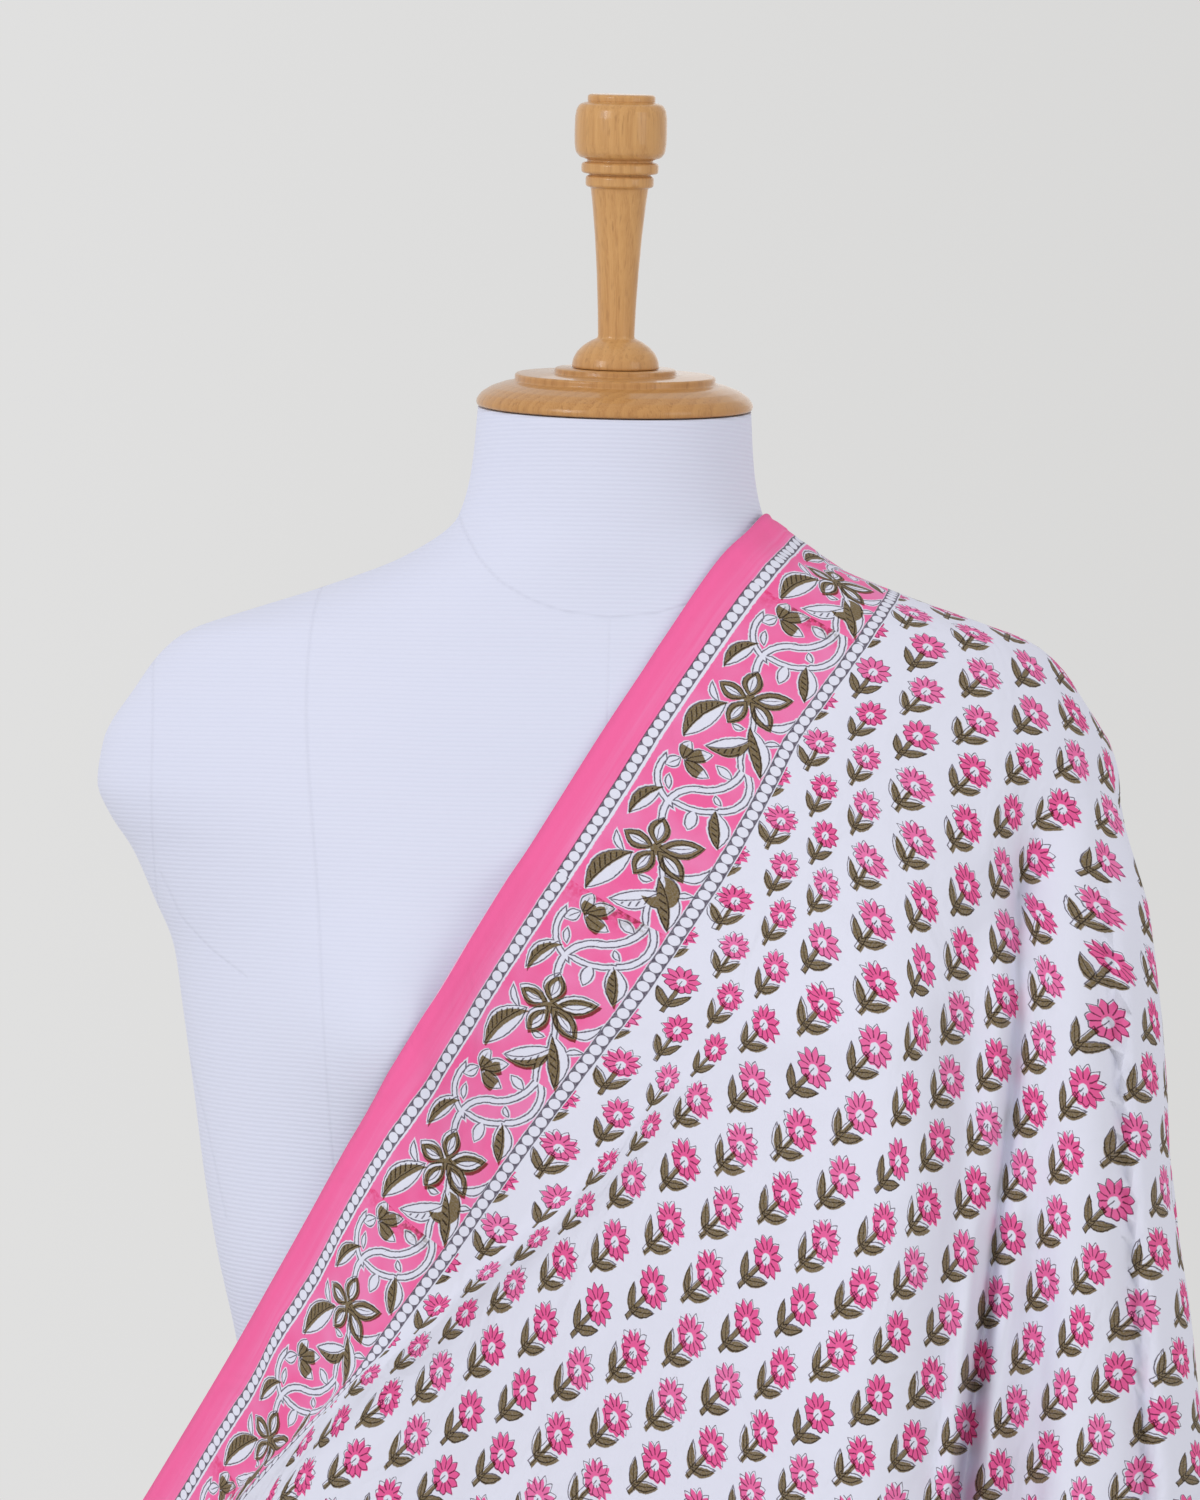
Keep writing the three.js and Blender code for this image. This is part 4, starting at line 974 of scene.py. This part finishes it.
def cloth_object(P, l, w):
    """The two-sided sheet with its rim, its print coordinates and its bake layout."""
    nl, nw = P.shape[1:]
    S = P.transpose(1, 2, 0)
    along, over = np.gradient(S, axis=0), np.gradient(S, axis=1)
    nrm = np.cross(along, over)
    nrm /= np.linalg.norm(nrm, axis=2, keepdims=True) + 1e-12
    top, low = S + nrm * THICK / 2, S - nrm * THICK / 2
    n = nl * nw
    idx = np.arange(n).reshape(nl, nw)
    a, b, c, d = idx[:-1, :-1], idx[1:, :-1], idx[1:, 1:], idx[:-1, 1:]
    front = np.stack([a, b, c, d], -1).reshape(-1, 4)
    back = np.stack([a, d, c, b], -1).reshape(-1, 4) + n
    rim = []
    for run, flip in ((idx[:, 0], False), (idx[-1, :], False), (idx[::-1, -1], False), (idx[0, ::-1], False)):
        p, q = run[:-1], run[1:]
        rim.append(np.stack([p, p + n, q + n, q], -1))
    rim = np.concatenate(rim)
    ob = new_mesh("sarong_cloth", np.concatenate([top.reshape(-1, 3), low.reshape(-1, 3)]), [front, back, rim])
    me = ob.data
    lv = np.zeros(len(me.loops), np.int32)
    me.loops.foreach_get("vertex_index", lv)
    L, W = np.meshgrid(l, w, indexing="ij")
    flat = np.stack([W.ravel(), L.ravel()], -1) / 1000.0
    LB, WB = bias(P * 1000, l, w)
    inked = np.stack([WB.ravel(), LB.ravel()], -1) / 1000.0
    uv = me.uv_layers.new(name="flat")
    uv.data.foreach_set("uv", inked[lv % n].astype(np.float32).ravel())
    # bake layout: the outer side on the left, the inner side on the right, the rim in the gaps round them
    scale = 1 / 2.26
    lay = np.stack([(flat[:, 0] + 0.006) * scale, (flat[:, 1] + 0.9 + 0.006) * scale], -1)
    lay2 = lay + np.array([(1.11 + 0.02) * scale, 0.0])
    u = np.where((lv < n)[:, None], lay[lv % n], lay2[lv % n])
    nrim = len(rim) * 4
    rl = lv[-nrim:]
    base = lay[rl % n].copy()
    shift = np.where(rl >= n, 0.0022 * scale, 0.0004 * scale)
    sides = np.repeat(np.array([0, 1, 2, 3]), np.array([nl - 1, nw - 1, nl - 1, nw - 1]) * 4)
    for s, dx, dy in ((0, -1, 0), (1, 0, 1), (2, 1, 0), (3, 0, -1)):
        m = sides == s
        base[m, 0] += dx * shift[m]
        base[m, 1] += dy * shift[m]
    u[-nrim:] = base
    bake = me.uv_layers.new(name="OFBake")
    bake.data.foreach_set("uv", u.astype(np.float32).ravel())
    # material of each face: border, field, wrong side of each, and the rim with the border
    edge = (w[:-1] + w[1:]) / 2
    region = np.where(edge < 59.0, 0, 1)
    face = np.broadcast_to(region[None], (nl - 1, nw - 1)).ravel()
    slots = np.concatenate([face, face + 2, np.full(len(rim), 2)])
    slots[len(face) * 2:] = 2
    me.polygons.foreach_set("material_index", slots.astype(np.int32))
    sharp = me.attributes.new("sharp_face", "BOOLEAN", "FACE") if "sharp_face" not in me.attributes else me.attributes["sharp_face"]
    flag = np.zeros(len(me.polygons), bool)
    flag[-len(rim):] = True
    sharp.data.foreach_set("value", flag)
    me.update()
    return ob


cloth = cloth_object(PF, AT_L, AT_W)


# ---------- printed cotton ----------
CLOTH = (0.775, 0.785, 0.912, 1)
# the pink glows a little: it throws back more red than the bare cloth does
INK_BAND, INK_GROUND, INK_FIELD = (1.2, 0.185, 0.42, 1), (1.16, 0.175, 0.405, 1), (1.06, 0.145, 0.36, 1)
INK_OLIVE, INK_LINE = (0.235, 0.165, 0.062, 1), (0.085, 0.062, 0.09, 1)


def weave(K, W, L):
    """Height of the plain weave and of slubs, from 0 to 1."""
    v = K.join(W, L)
    a = K.level(K.noise(K.join(W * 0.35, L * 5.0), 1.0, 1.0, dims="2D"))
    b = K.level(K.noise(K.join(W * 5.0, L * 0.35), 1.0, 1.0, dims="2D"))
    c = K.level(K.noise(v, 2.2, 2.0, dims="2D"))
    return (a + b + c) * (1 / 3.0)


def cotton(name, region, wrong=False):
    m, K, shader = material(name, Roughness=0.86)
    uv = K.node("ShaderNodeUVMap", uv_map="flat")
    w, l, _ = K.split(uv.outputs[0])
    W, L = w * 1000.0, l * 1000.0
    # the print's hand-cut edge, and threads that carry ink unevenly
    nz = K.noise(K.join(W, L), 0.55, 2.0, 0.6, dims="2D")
    n1, n2, _ = K.split(nz.outputs["Color"])
    wob1, wob2 = n1 - 0.5, n2 - 0.5
    slow = K.level(K.noise(K.join(W, L), 0.045, 2.0, 0.6, dims="2D"))
    grain = K.level(K.noise(K.join(W * 1.6, L * 1.6), 1.0, 1.0, 0.6, dims="2D"))
    inked = 0.55 if wrong else 1.0
    if region == "border":
        pk, ol, dk, band, joint, y0, odd, sil = border(K, W, L, wob1, wob2)
        streak = K.level(K.noise(K.join(W * 0.55, L * 0.018), 1.0, 2.0, 0.6, dims="2D"))
        wash = K.clamp(K.mad(W, 0.075, -0.35) * (streak * 1.9 - 0.45))
        ink_band = K.mix_rgb(wash * 0.8, INK_BAND, (1.15, 0.42, 0.66, 1))
        tone = K.mix_rgb(K.clamp(slow * 2.4 - 0.75), INK_GROUND, (1.14, 0.29, 0.53, 1))
        wet = K.clamp(1.15 - joint * 0.13) * K.clamp(K.mad(wob1, 3.0, 0.55))
        tone = K.mix_rgb(wet * 0.7, tone, (0.98, 0.035, 0.18, 1))
        col = K.mix_rgb(K.cover(band, 0.4) * inked, CLOTH, ink_band, "MULTIPLY")
        col = K.mix_rgb(K.cover(pk, 0.35) * inked, col, tone, "MULTIPLY")
        smear = K.min(K.clamp(1.1 - joint * 0.2), K.cover(9.5 - K.abs(W - 38.0), 5.0)) * K.clamp(K.mad(wob2, 5.0, 0.55))
        col = K.mix_rgb(K.max(K.cover(ol, 0.3), smear * 0.8) * K.mad(grain, 0.25, 0.84) * inked, col, INK_OLIVE, "MULTIPLY")
        col = K.mix_rgb(K.cover(dk, 0.22) * K.mad(grain, 0.5, 0.62) * inked, col, INK_LINE, "MULTIPLY")
    else:
        pk, ol, dk, r1, r2, r3 = field(K, W, L, wob1, wob2)
        # a plain band finishes the other three edges
        edge = K.min(K.min(K.abs(W - 1110.0), K.abs(L - 900.0)), K.abs(L + 900.0))
        inside = K.cover(edge - BAND - 1.5, 0.3)
        tone = K.mix_rgb(K.clamp(r3 * 1.3 + slow - 0.9), INK_FIELD, (1.1, 0.26, 0.50, 1))
        col = K.mix_rgb(K.cover(BAND - edge, 0.4) * inked, CLOTH, INK_BAND, "MULTIPLY")
        col = K.mix_rgb(K.cover(pk, 0.3) * inside * inked, col, tone, "MULTIPLY")
        col = K.mix_rgb(K.cover(ol, 0.3) * inside * K.mad(grain, 0.3, 0.8) * inked, col, INK_OLIVE, "MULTIPLY")
        col = K.mix_rgb(K.cover(dk, 0.18) * inside * K.mad(grain, 0.5, 0.62) * inked, col, INK_LINE, "MULTIPLY")
    K.put(shader.inputs["Base Color"], col)
    # small soft creases, then the weave
    rumple = K.noise(K.join(W, L), 0.028, 3.0, 0.55, dims="2D", distortion=0.6)
    soft = K.node("ShaderNodeBump")
    soft.inputs["Strength"].default_value = 0.55
    soft.inputs["Distance"].default_value = 0.0034
    K.put(soft.inputs["Height"], K.level(rumple))
    bump = K.node("ShaderNodeBump")
    bump.inputs["Strength"].default_value = 0.4
    bump.inputs["Distance"].default_value = 0.0004
    K.put(bump.inputs["Height"], weave(K, W, L))
    K.put(bump.inputs["Normal"], soft.outputs[0])
    K.put(shader.inputs["Normal"], bump.outputs[0])
    shader.inputs["Specular IOR Level"].default_value = 0.12
    shader.inputs["Sheen Weight"].default_value = 0.06
    shader.inputs["Sheen Roughness"].default_value = 0.5
    print("material", name, K.made, "nodes")
    return m


for mat in (cotton("cotton_border", "border"), cotton("cotton_field", "field"),
            cotton("cotton_border_wrong_side", "border", True), cotton("cotton_field_wrong_side", "field", True)):
    cloth.data.materials.append(mat)
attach(cloth, "root")
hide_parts("sarong")


# ---------- the form, finely ----------
TILT = math.radians(FORM_TILT)


def form_depth(x, z, fr, bk, front):
    u, v = (np.abs(x) - BUST["x"]) / BUST["wide"], (z - BUST["z"]) / BUST["high"]
    return np.where(front, fr + BUST["depth"] / (1 + u * u + v * v) ** 3, bk)


def form_grid(zs, n):
    """Points of the form's surface at heights zs, n round each; around goes from the arm side over the back."""
    th = 2 * np.pi * np.arange(n) / n
    (hw, fr, bk, cy), _ = section(zs)
    x = hw[:, None] * np.cos(th)[None]
    s = np.sin(th)[None] + 0 * x
    z = zs[:, None] + 0 * x
    off = form_depth(x, z, fr[:, None], bk[:, None], s < 0) * s
    # above the neck's root the rings lean forward, as the frame's do
    lean = np.clip((z - TILT_FROM * 1000) / (SECTIONS[-1, 0] - TILT_FROM * 1000), 0, 1)
    return np.stack([x, cy[:, None] + off, z + off * math.tan(TILT) * lean], -1)


def line_distance(px, pz, pts):
    """Signed distance in the XZ plane from a polyline, and how far along it the nearest place is, 0 to 1."""
    pts = np.array(pts, float)
    best = np.full(px.shape, 1e9)
    sign = np.zeros(px.shape)
    t_at = np.zeros(px.shape)
    seg = np.diff(pts, axis=0)
    ln = np.hypot(seg[:, 0], seg[:, 1])
    run = np.concatenate([[0], np.cumsum(ln)])
    for k in range(len(seg)):
        dx, dz = px - pts[k, 0], pz - pts[k, 1]
        t = (dx * seg[k, 0] + dz * seg[k, 1]) / ln[k] ** 2
        if k > 0:
            t = np.maximum(t, 0)
        if k < len(seg) - 1:
            t = np.minimum(t, 1)
        ex, ez = dx - t * seg[k, 0], dz - t * seg[k, 1]
        d = np.hypot(ex, ez)
        s = np.sign(seg[k, 0] * dz - seg[k, 1] * dx)
        m = d < best
        best = np.where(m, d, best)
        sign = np.where(m, s, sign)
        t_at = np.where(m, (run[k] + t * ln[k]) / run[-1], t_at)
    return best * sign, t_at


# Seams seen from the front, as distance from the middle and height. Each is sewn on both halves.
SEAM_ARM = [(176, 1452), (172.5, 1420), (172, 1395), (171, 1362), (170, 1338), (166, 1318), (161, 1300), (150, 1270), (140, 1230)]
SEAM_PRINCESS = [(110, 1474), (114.5, 1452), (113, 1420), (110, 1388), (107, 1366), (104, 1330), (99, 1270), (92, 1200), (84, 1140), (92, 1060), (108, 960), (112, 840)]
SEAM_DART = [(168, 1360), (160, 1344), (148, 1333), (134, 1324)]
SEAM_NECK = [(0, 1461), (18, 1463), (30, 1467), (42, 1474), (50, 1483), (56, 1494), (60, 1503)]


def smooth_line(pts, n=60):
    pts = np.array(pts, float)
    s = np.concatenate([[0], np.cumsum(np.hypot(*np.diff(pts, axis=0).T))])
    q = np.linspace(0, s[-1], n)
    k = (q / s[-1]) * 0
    out = []
    for c in (0, 1):
        v = np.interp(q, s, pts[:, c])
        for _ in range(6):
            v[1:-1] = 0.25 * v[:-2] + 0.5 * v[1:-1] + 0.25 * v[2:]
        out.append(v)
    return np.stack(out, -1)


def build_form():
    zs = np.concatenate([np.arange(840, 1440, 3.2), np.arange(1440, 1541, 2.0), [SECTIONS[-1, 0]]])
    n = 208
    g = form_grid(zs, n)
    x, y, z = g[..., 0], g[..., 1], g[..., 2]
    front = y < 0
    rows = len(zs)
    dist = {}
    ax = np.abs(x)
    for name, pts in (("arm", SEAM_ARM), ("princess", SEAM_PRINCESS), ("dart", SEAM_DART), ("neck", SEAM_NECK)):
        d, t = line_distance(ax, z, smooth_line(pts))
        ends = np.where((t < -0.002) | (t > 1.002), 9.0, 0.0)
        dist[name] = (d, ends)
    idx = np.arange(rows * n).reshape(rows, n)
    a, b = idx[:-1], idx[1:]
    quads = np.stack([a, np.roll(a, -1, 1), np.roll(b, -1, 1), b], -1).reshape(-1, 4)
    verts = g.reshape(-1, 3)
    # closed at the foot and top with flat discs
    foot_c, top_c = len(verts), len(verts) + 1
    cfoot, ctop = g[0].mean(0), g[-1].mean(0)
    verts = np.concatenate([verts, [cfoot, ctop]])
    r = np.arange(n)
    foot = np.stack([idx[0][np.roll(r, -1)], idx[0], np.full(n, foot_c)], -1)
    top = np.stack([idx[-1], idx[-1][np.roll(r, -1)], np.full(n, top_c)], -1)
    # the seams' distances are stored below, for the jersey's bump to press them in
    nrm = np.gradient(g, axis=1)
    ob = new_mesh("dress_form", verts / 1000.0, [quads, foot, top])
    me = ob.data
    for name, (d, ends) in dist.items():
        full = np.concatenate([d.ravel(), [50.0, 50.0]])
        float_attribute(me, "seam_" + name, full)
    float_attribute(me, "front", np.concatenate([np.where(front, 1.0, 0.0).ravel(), [0.0, 0.0]]))
    flag = np.zeros(len(me.polygons), bool)
    flag[-2 * n:] = True
    at = me.attributes.get("sharp_face") or me.attributes.new("sharp_face", "BOOLEAN", "FACE")
    at.data.foreach_set("value", flag)
    return ob


form = build_form()


def jersey():
    m, K, shader = material("jersey", Roughness=0.8)
    geo = K.node("ShaderNodeTexCoord")
    px, py, pz = K.split(geo.outputs["Object"])
    X, Y, Z = px * 1000.0, py * 1000.0, pz * 1000.0

    def attr(name):
        a = K.node("ShaderNodeAttribute", attribute_name=name)
        return Value(K, a.outputs["Fac"])

    front = attr("front")
    # fine ribs run round the body, and dip a little towards the shoulders
    wob = K.level(K.noise(K.join(X * 0.02, Y * 0.02, Z * 0.02), 1.0, 1.0)) - 0.5
    rib_at = K.mad(wob, 1.2, Z) * (1 / 1.7)
    rib = K.abs(K.fract(rib_at) - 0.5) * 2.0
    seams = None
    for name, lo, hi in (("arm", 1230.0, 1453.0), ("princess", 840.0, 1475.0), ("dart", 1323.0, 1361.0), ("neck", 1455.0, 1504.0)):
        d = K.abs(attr("seam_" + name))
        inside = K.min(K.cover(Z - lo, 2.0), K.cover(hi - Z, 2.0))
        if name == "dart":
            inside = K.min(inside, K.min(K.cover(K.abs(X) - 133.0, 2.0), K.cover(170.0 - K.abs(X), 2.0)))
        if name == "neck":
            inside = K.min(inside, K.cover(61.0 - K.abs(X), 1.0))
        if name == "arm":
            inside = K.min(inside, K.cover(K.abs(X) - 130.0, 2.0))
        s = K.clamp(1.0 - d * 1.1) * inside
        seams = s if seams is None else K.max(seams, s)
    centre = K.clamp(1.0 - K.abs(X) * 1.4) * K.min(K.cover(Z - 840.0, 2.0), K.cover(1461.0 - Z, 2.0))
    seams = K.max(seams, centre * 0.5)
    neck_line = 0.0
    slow = K.level(K.noise(K.join(X, Y, Z), 0.012, 2.0))
    base = K.mix_rgb(K.clamp(slow), (0.718, 0.742, 0.895, 1), (0.742, 0.762, 0.91, 1))
    # painted shade: the knit is darkened in the grooves between its ribs, where the bump sets them lowest
    col = K.mix_rgb(K.clamp(1.0 - rib * 1.6) * 0.14, base, (0.54, 0.57, 0.75, 1))
    # painted shade: the seam lines, and the centre line at half strength, are darkened as the shade in the grooves they
    # press into the padding
    col = K.mix_rgb(seams * 0.15, col, (0.52, 0.54, 0.66, 1))
    K.put(shader.inputs["Base Color"], col)
    bump = K.node("ShaderNodeBump")
    bump.inputs["Strength"].default_value = 0.5
    bump.inputs["Distance"].default_value = 0.0005
    K.put(bump.inputs["Height"], rib * 0.5 - seams * 0.8)
    K.put(shader.inputs["Normal"], bump.outputs[0])
    shader.inputs["Sheen Weight"].default_value = 0.15
    shader.inputs["Specular IOR Level"].default_value = 0.25
    print("material jersey", K.made, "nodes")
    return m


form.data.materials.append(jersey())
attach(form, "root")
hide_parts("form_body")


# ---------- turned pieces ----------
def lathe(name, profile, sides, place=None, close=True):
    """A solid turned from (radius, height) points, sides round; place moves it into the frame."""
    pr = np.array(profile, float)
    th = 2 * np.pi * np.arange(sides) / sides
    rings = np.stack([pr[:, 0, None] * np.cos(th), pr[:, 0, None] * np.sin(th), pr[:, 1, None] + 0 * th[None]], -1)
    n = len(pr)
    verts = rings.reshape(-1, 3)
    idx = np.arange(n * sides).reshape(n, sides)
    a, b = idx[:-1], idx[1:]
    quads = np.stack([a, np.roll(a, -1, 1), np.roll(b, -1, 1), b], -1).reshape(-1, 4)
    foot_c, top_c = len(verts), len(verts) + 1
    verts = np.concatenate([verts, [[0, 0, pr[0, 1]], [0, 0, pr[-1, 1]]]])
    r = np.arange(sides)
    foot = np.stack([idx[0][np.roll(r, -1)], idx[0], np.full(sides, foot_c)], -1)
    top = np.stack([idx[-1], idx[-1][np.roll(r, -1)], np.full(sides, top_c)], -1)
    ob = new_mesh(name, (verts / 1000.0) if place is None else place(verts) / 1000.0, [quads, foot, top])
    local = np.concatenate([verts])
    for k, c in enumerate("xyz"):
        float_attribute(ob.data, "turn_" + c, local[:, k])
    return ob


def rounded(points, radius=0.5, steps=5):
    """A turned profile with its corners rounded by up to radius."""
    p = np.array(points, float)
    out = [p[0]]
    for a, b, c in zip(p[:-2], p[1:-1], p[2:]):
        u, v = a - b, c - b
        lu, lv = np.hypot(*u), np.hypot(*v)
        r = min(radius, lu * 0.45, lv * 0.45)
        s, e = b + u / lu * r, b + v / lv * r
        for t in np.linspace(0, 1, steps):
            out.append((1 - t) ** 2 * s + 2 * t * (1 - t) * b + t * t * e)
    out.append(p[-1])
    return np.array(out)


CAP = [(50.8, 0), (52.6, 0.5), (53, 1.6), (52.7, 3), (51, 5.2), (47.5, 7.4), (43, 9), (39.4, 9.8), (38.4, 10.3), (38.4, 12.2), (37.8, 12.8), (23.4, 13), (23.2, 14.8), (22.6, 15.2)]
FINIAL = [(16.6, 0), (16.7, 1), (16.2, 3.4), (14.8, 6), (12.4, 8.4), (9.6, 10.2), (7.3, 11.2), (7, 12), (7.3, 22), (8, 36), (9, 50), (10.2, 62), (11, 68.4), (12.4, 68.7), (13, 69.4), (13, 72.2), (12.4, 72.9), (11.8, 73.1), (11.8, 73.6), (14, 73.8), (14.7, 74.5), (14.7, 77.2), (14, 78), (12.6, 78.2), (12.6, 79), (13.2, 79.2), (15.6, 80), (17, 81.8), (17.5, 85), (17.6, 90), (17.5, 95), (17, 98), (15.8, 99.9), (13.6, 100.6), (12.7, 100.8), (12.9, 101.3), (12.9, 102.8), (12.5, 103.4), (11.8, 103.7)]
GAP = 0.3


def on_neck(v, lift):
    """From the cap's own axis to the frame: leaning with the neck."""
    c, s = math.cos(TILT), math.sin(TILT)
    z = v[:, 2] + lift
    return np.stack([v[:, 0], v[:, 1] * c - z * s + SECTIONS[-1, 4], v[:, 1] * s + z * c + SECTIONS[-1, 0]], -1)


cap = lathe("neck_cap_turned", rounded(CAP, 0.8), 112, lambda v: on_neck(v, GAP))
finial = lathe("finial_turned", rounded(FINIAL, 0.8), 88, lambda v: on_neck(v, GAP + CAP[-1][1] + GAP))


def wood(name, seed):
    m, K, shader = material(name, Roughness=0.3)
    x, y, z = (Value(K, K.node("ShaderNodeAttribute", attribute_name="turn_" + c).outputs["Fac"]) for c in "xyz")
    # growth rings of a trunk whose heart lies beside the piece, drawn out along the axis
    warp = K.noise(K.join(x * 0.035, y * 0.035, z * 0.008), 1.0, 2.0, 0.5)
    w1, w2, _ = K.split(warp.outputs["Color"])
    X = K.mad(w1, 16.0, x + 46.0 + seed * 7.0)
    Y = K.mad(w2, 12.0, y - 20.0)
    R = K.len(X, Y) + z * 0.07
    ring = K.fract(R * (1 / 4.6))
    late = K.math("SMOOTH_MIN", ring * 1.0, (1.0 - ring) * 5.0, 0.2)
    fibre = K.level(K.noise(K.join(x * 2.6, y * 2.6, z * 0.06), 1.0, 3.0, 0.6))
    fleck = K.level(K.noise(K.join(x * 0.9, y * 0.9, z * 0.12), 1.0, 2.0, 0.5))
    broad = K.level(K.noise(K.join(x, y, z), 0.03, 1.0))
    base = K.mix_rgb(K.clamp(late), (0.58, 0.295, 0.098, 1), (0.41, 0.175, 0.048, 1))
    col = K.mix_rgb(K.clamp(K.mad(fibre, 1.8, -0.5)), base, (0.66, 0.36, 0.135, 1))
    col = K.mix_rgb(K.clamp(K.mad(fleck, 6.0, -3.4)) * 0.55, col, (0.30, 0.125, 0.035, 1))
    col = K.mix_rgb(K.clamp(K.mad(broad, 2.0, -0.6)) * 0.35, col, (0.50, 0.25, 0.085, 1))
    if seed:
        # the finial's wood is made a little paler than the cap's
        col = K.mix_rgb(0.12, col, (0.86, 0.55, 0.25, 1))
    else:
        # painted shade: the cap's wood is darkened for the shade on its disc, whose front edge alone faces the camera
        col = K.mix_rgb(0.16, col, (0.33, 0.14, 0.04, 1))
    K.put(shader.inputs["Base Color"], col)
    bump = K.node("ShaderNodeBump")
    bump.inputs["Strength"].default_value = 0.12
    bump.inputs["Distance"].default_value = 0.0003
    K.put(bump.inputs["Height"], fibre)
    K.put(shader.inputs["Normal"], bump.outputs[0])
    shader.inputs["Coat Weight"].default_value = 0.5
    shader.inputs["Coat Roughness"].default_value = 0.05
    shader.inputs["Coat IOR"].default_value = 1.38
    shader.inputs["Specular IOR Level"].default_value = 0.25
    return m


for piece, node, seed in ((cap, "neck_cap", 0.0), (finial, "finial", 1.0)):
    piece.data.materials.append(wood("varnished_wood_" + node, seed))
    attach(piece, "root")
    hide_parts(node)

pole = lathe("stand_pole", [(16, 22.3), (16, 839.7)], 64)
base = lathe("stand_base", rounded([(188, 0), (190, 3), (190, 9), (185, 13), (130, 16), (42, 18), (30, 22)], 2.5), 128)
enamel, EK, eshader = material("enamelled_steel", Roughness=0.38)
speck = EK.level(EK.noise(EK.node("ShaderNodeTexCoord").outputs["Object"], 900.0, 1.0))
EK.put(eshader.inputs["Base Color"], EK.mix_rgb(speck, (0.74, 0.74, 0.73, 1), (0.79, 0.79, 0.785, 1)))
eshader.inputs["Coat Weight"].default_value = 0.3
eshader.inputs["Coat Roughness"].default_value = 0.2
for piece, node in ((pole, "pole"), (base, "base")):
    piece.data.materials.append(enamel)
    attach(piece, "root")
    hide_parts(node)


# ---------- floor, light ----------
r = np.arange(96) * 2 * np.pi / 96
floor = new_mesh("floor", np.stack([2.6 * np.cos(r), 2.6 * np.sin(r) + 0.2, 0 * r - 0.0004], -1), np.arange(96)[None], smooth=False)
fm, FK, fshader = material("pale_floor", Roughness=0.9)
fshader.inputs["Base Color"].default_value = (0.70, 0.70, 0.68, 1)
floor.data.materials.append(fm)

world = bpy.data.worlds.new("studio")
bpy.context.scene.world = world
world.use_nodes = True
back = world.node_tree.nodes["Background"]
# a plain wall, a little darker to the right
WK = Kit(world.node_tree)
wx, wy, wz = WK.split(WK.node("ShaderNodeTexCoord").outputs["Generated"])
WK.put(back.inputs["Color"], WK.mix_rgb(WK.clamp(WK.mad(wx, 4.5, 0.5)), (0.748, 0.746, 0.742, 1), (0.695, 0.692, 0.684, 1)))
back.inputs["Strength"].default_value = 1.0


def softbox(name, place, aim, size, power, colour=(1, 1, 1)):
    data = bpy.data.lights.new(name, "AREA")
    data.shape = "RECTANGLE"
    data.size, data.size_y = size
    data.energy = power
    data.color = colour
    ob = bpy.data.objects.new(name, data)
    bpy.context.scene.collection.objects.link(ob)
    ob.location = place
    ob.rotation_euler = (Vector(aim) - Vector(place)).to_track_quat("-Z", "Y").to_euler()
    return ob


softbox("key", (-1.9, -2.3, 2.5), (0, 0, 1.3), (1.4, 1.4), 16.5, (0.97, 0.98, 1.0))
softbox("window", (-1.75, -2.15, 2.2), (0, 0, 1.45), (0.32, 1.5), 8.5, (0.97, 0.98, 1.0))
softbox("fill", (2.3, -1.7, 1.9), (0, 0, 1.3), (1.2, 1.6), 9.0, (1.0, 0.98, 0.96))
softbox("rim", (0.6, 2.3, 2.2), (0, 0, 1.2), (1.4, 1.4), 2.0)

bpy.context.scene.view_settings.view_transform = "Standard"
bpy.context.scene.view_settings.look = "None"
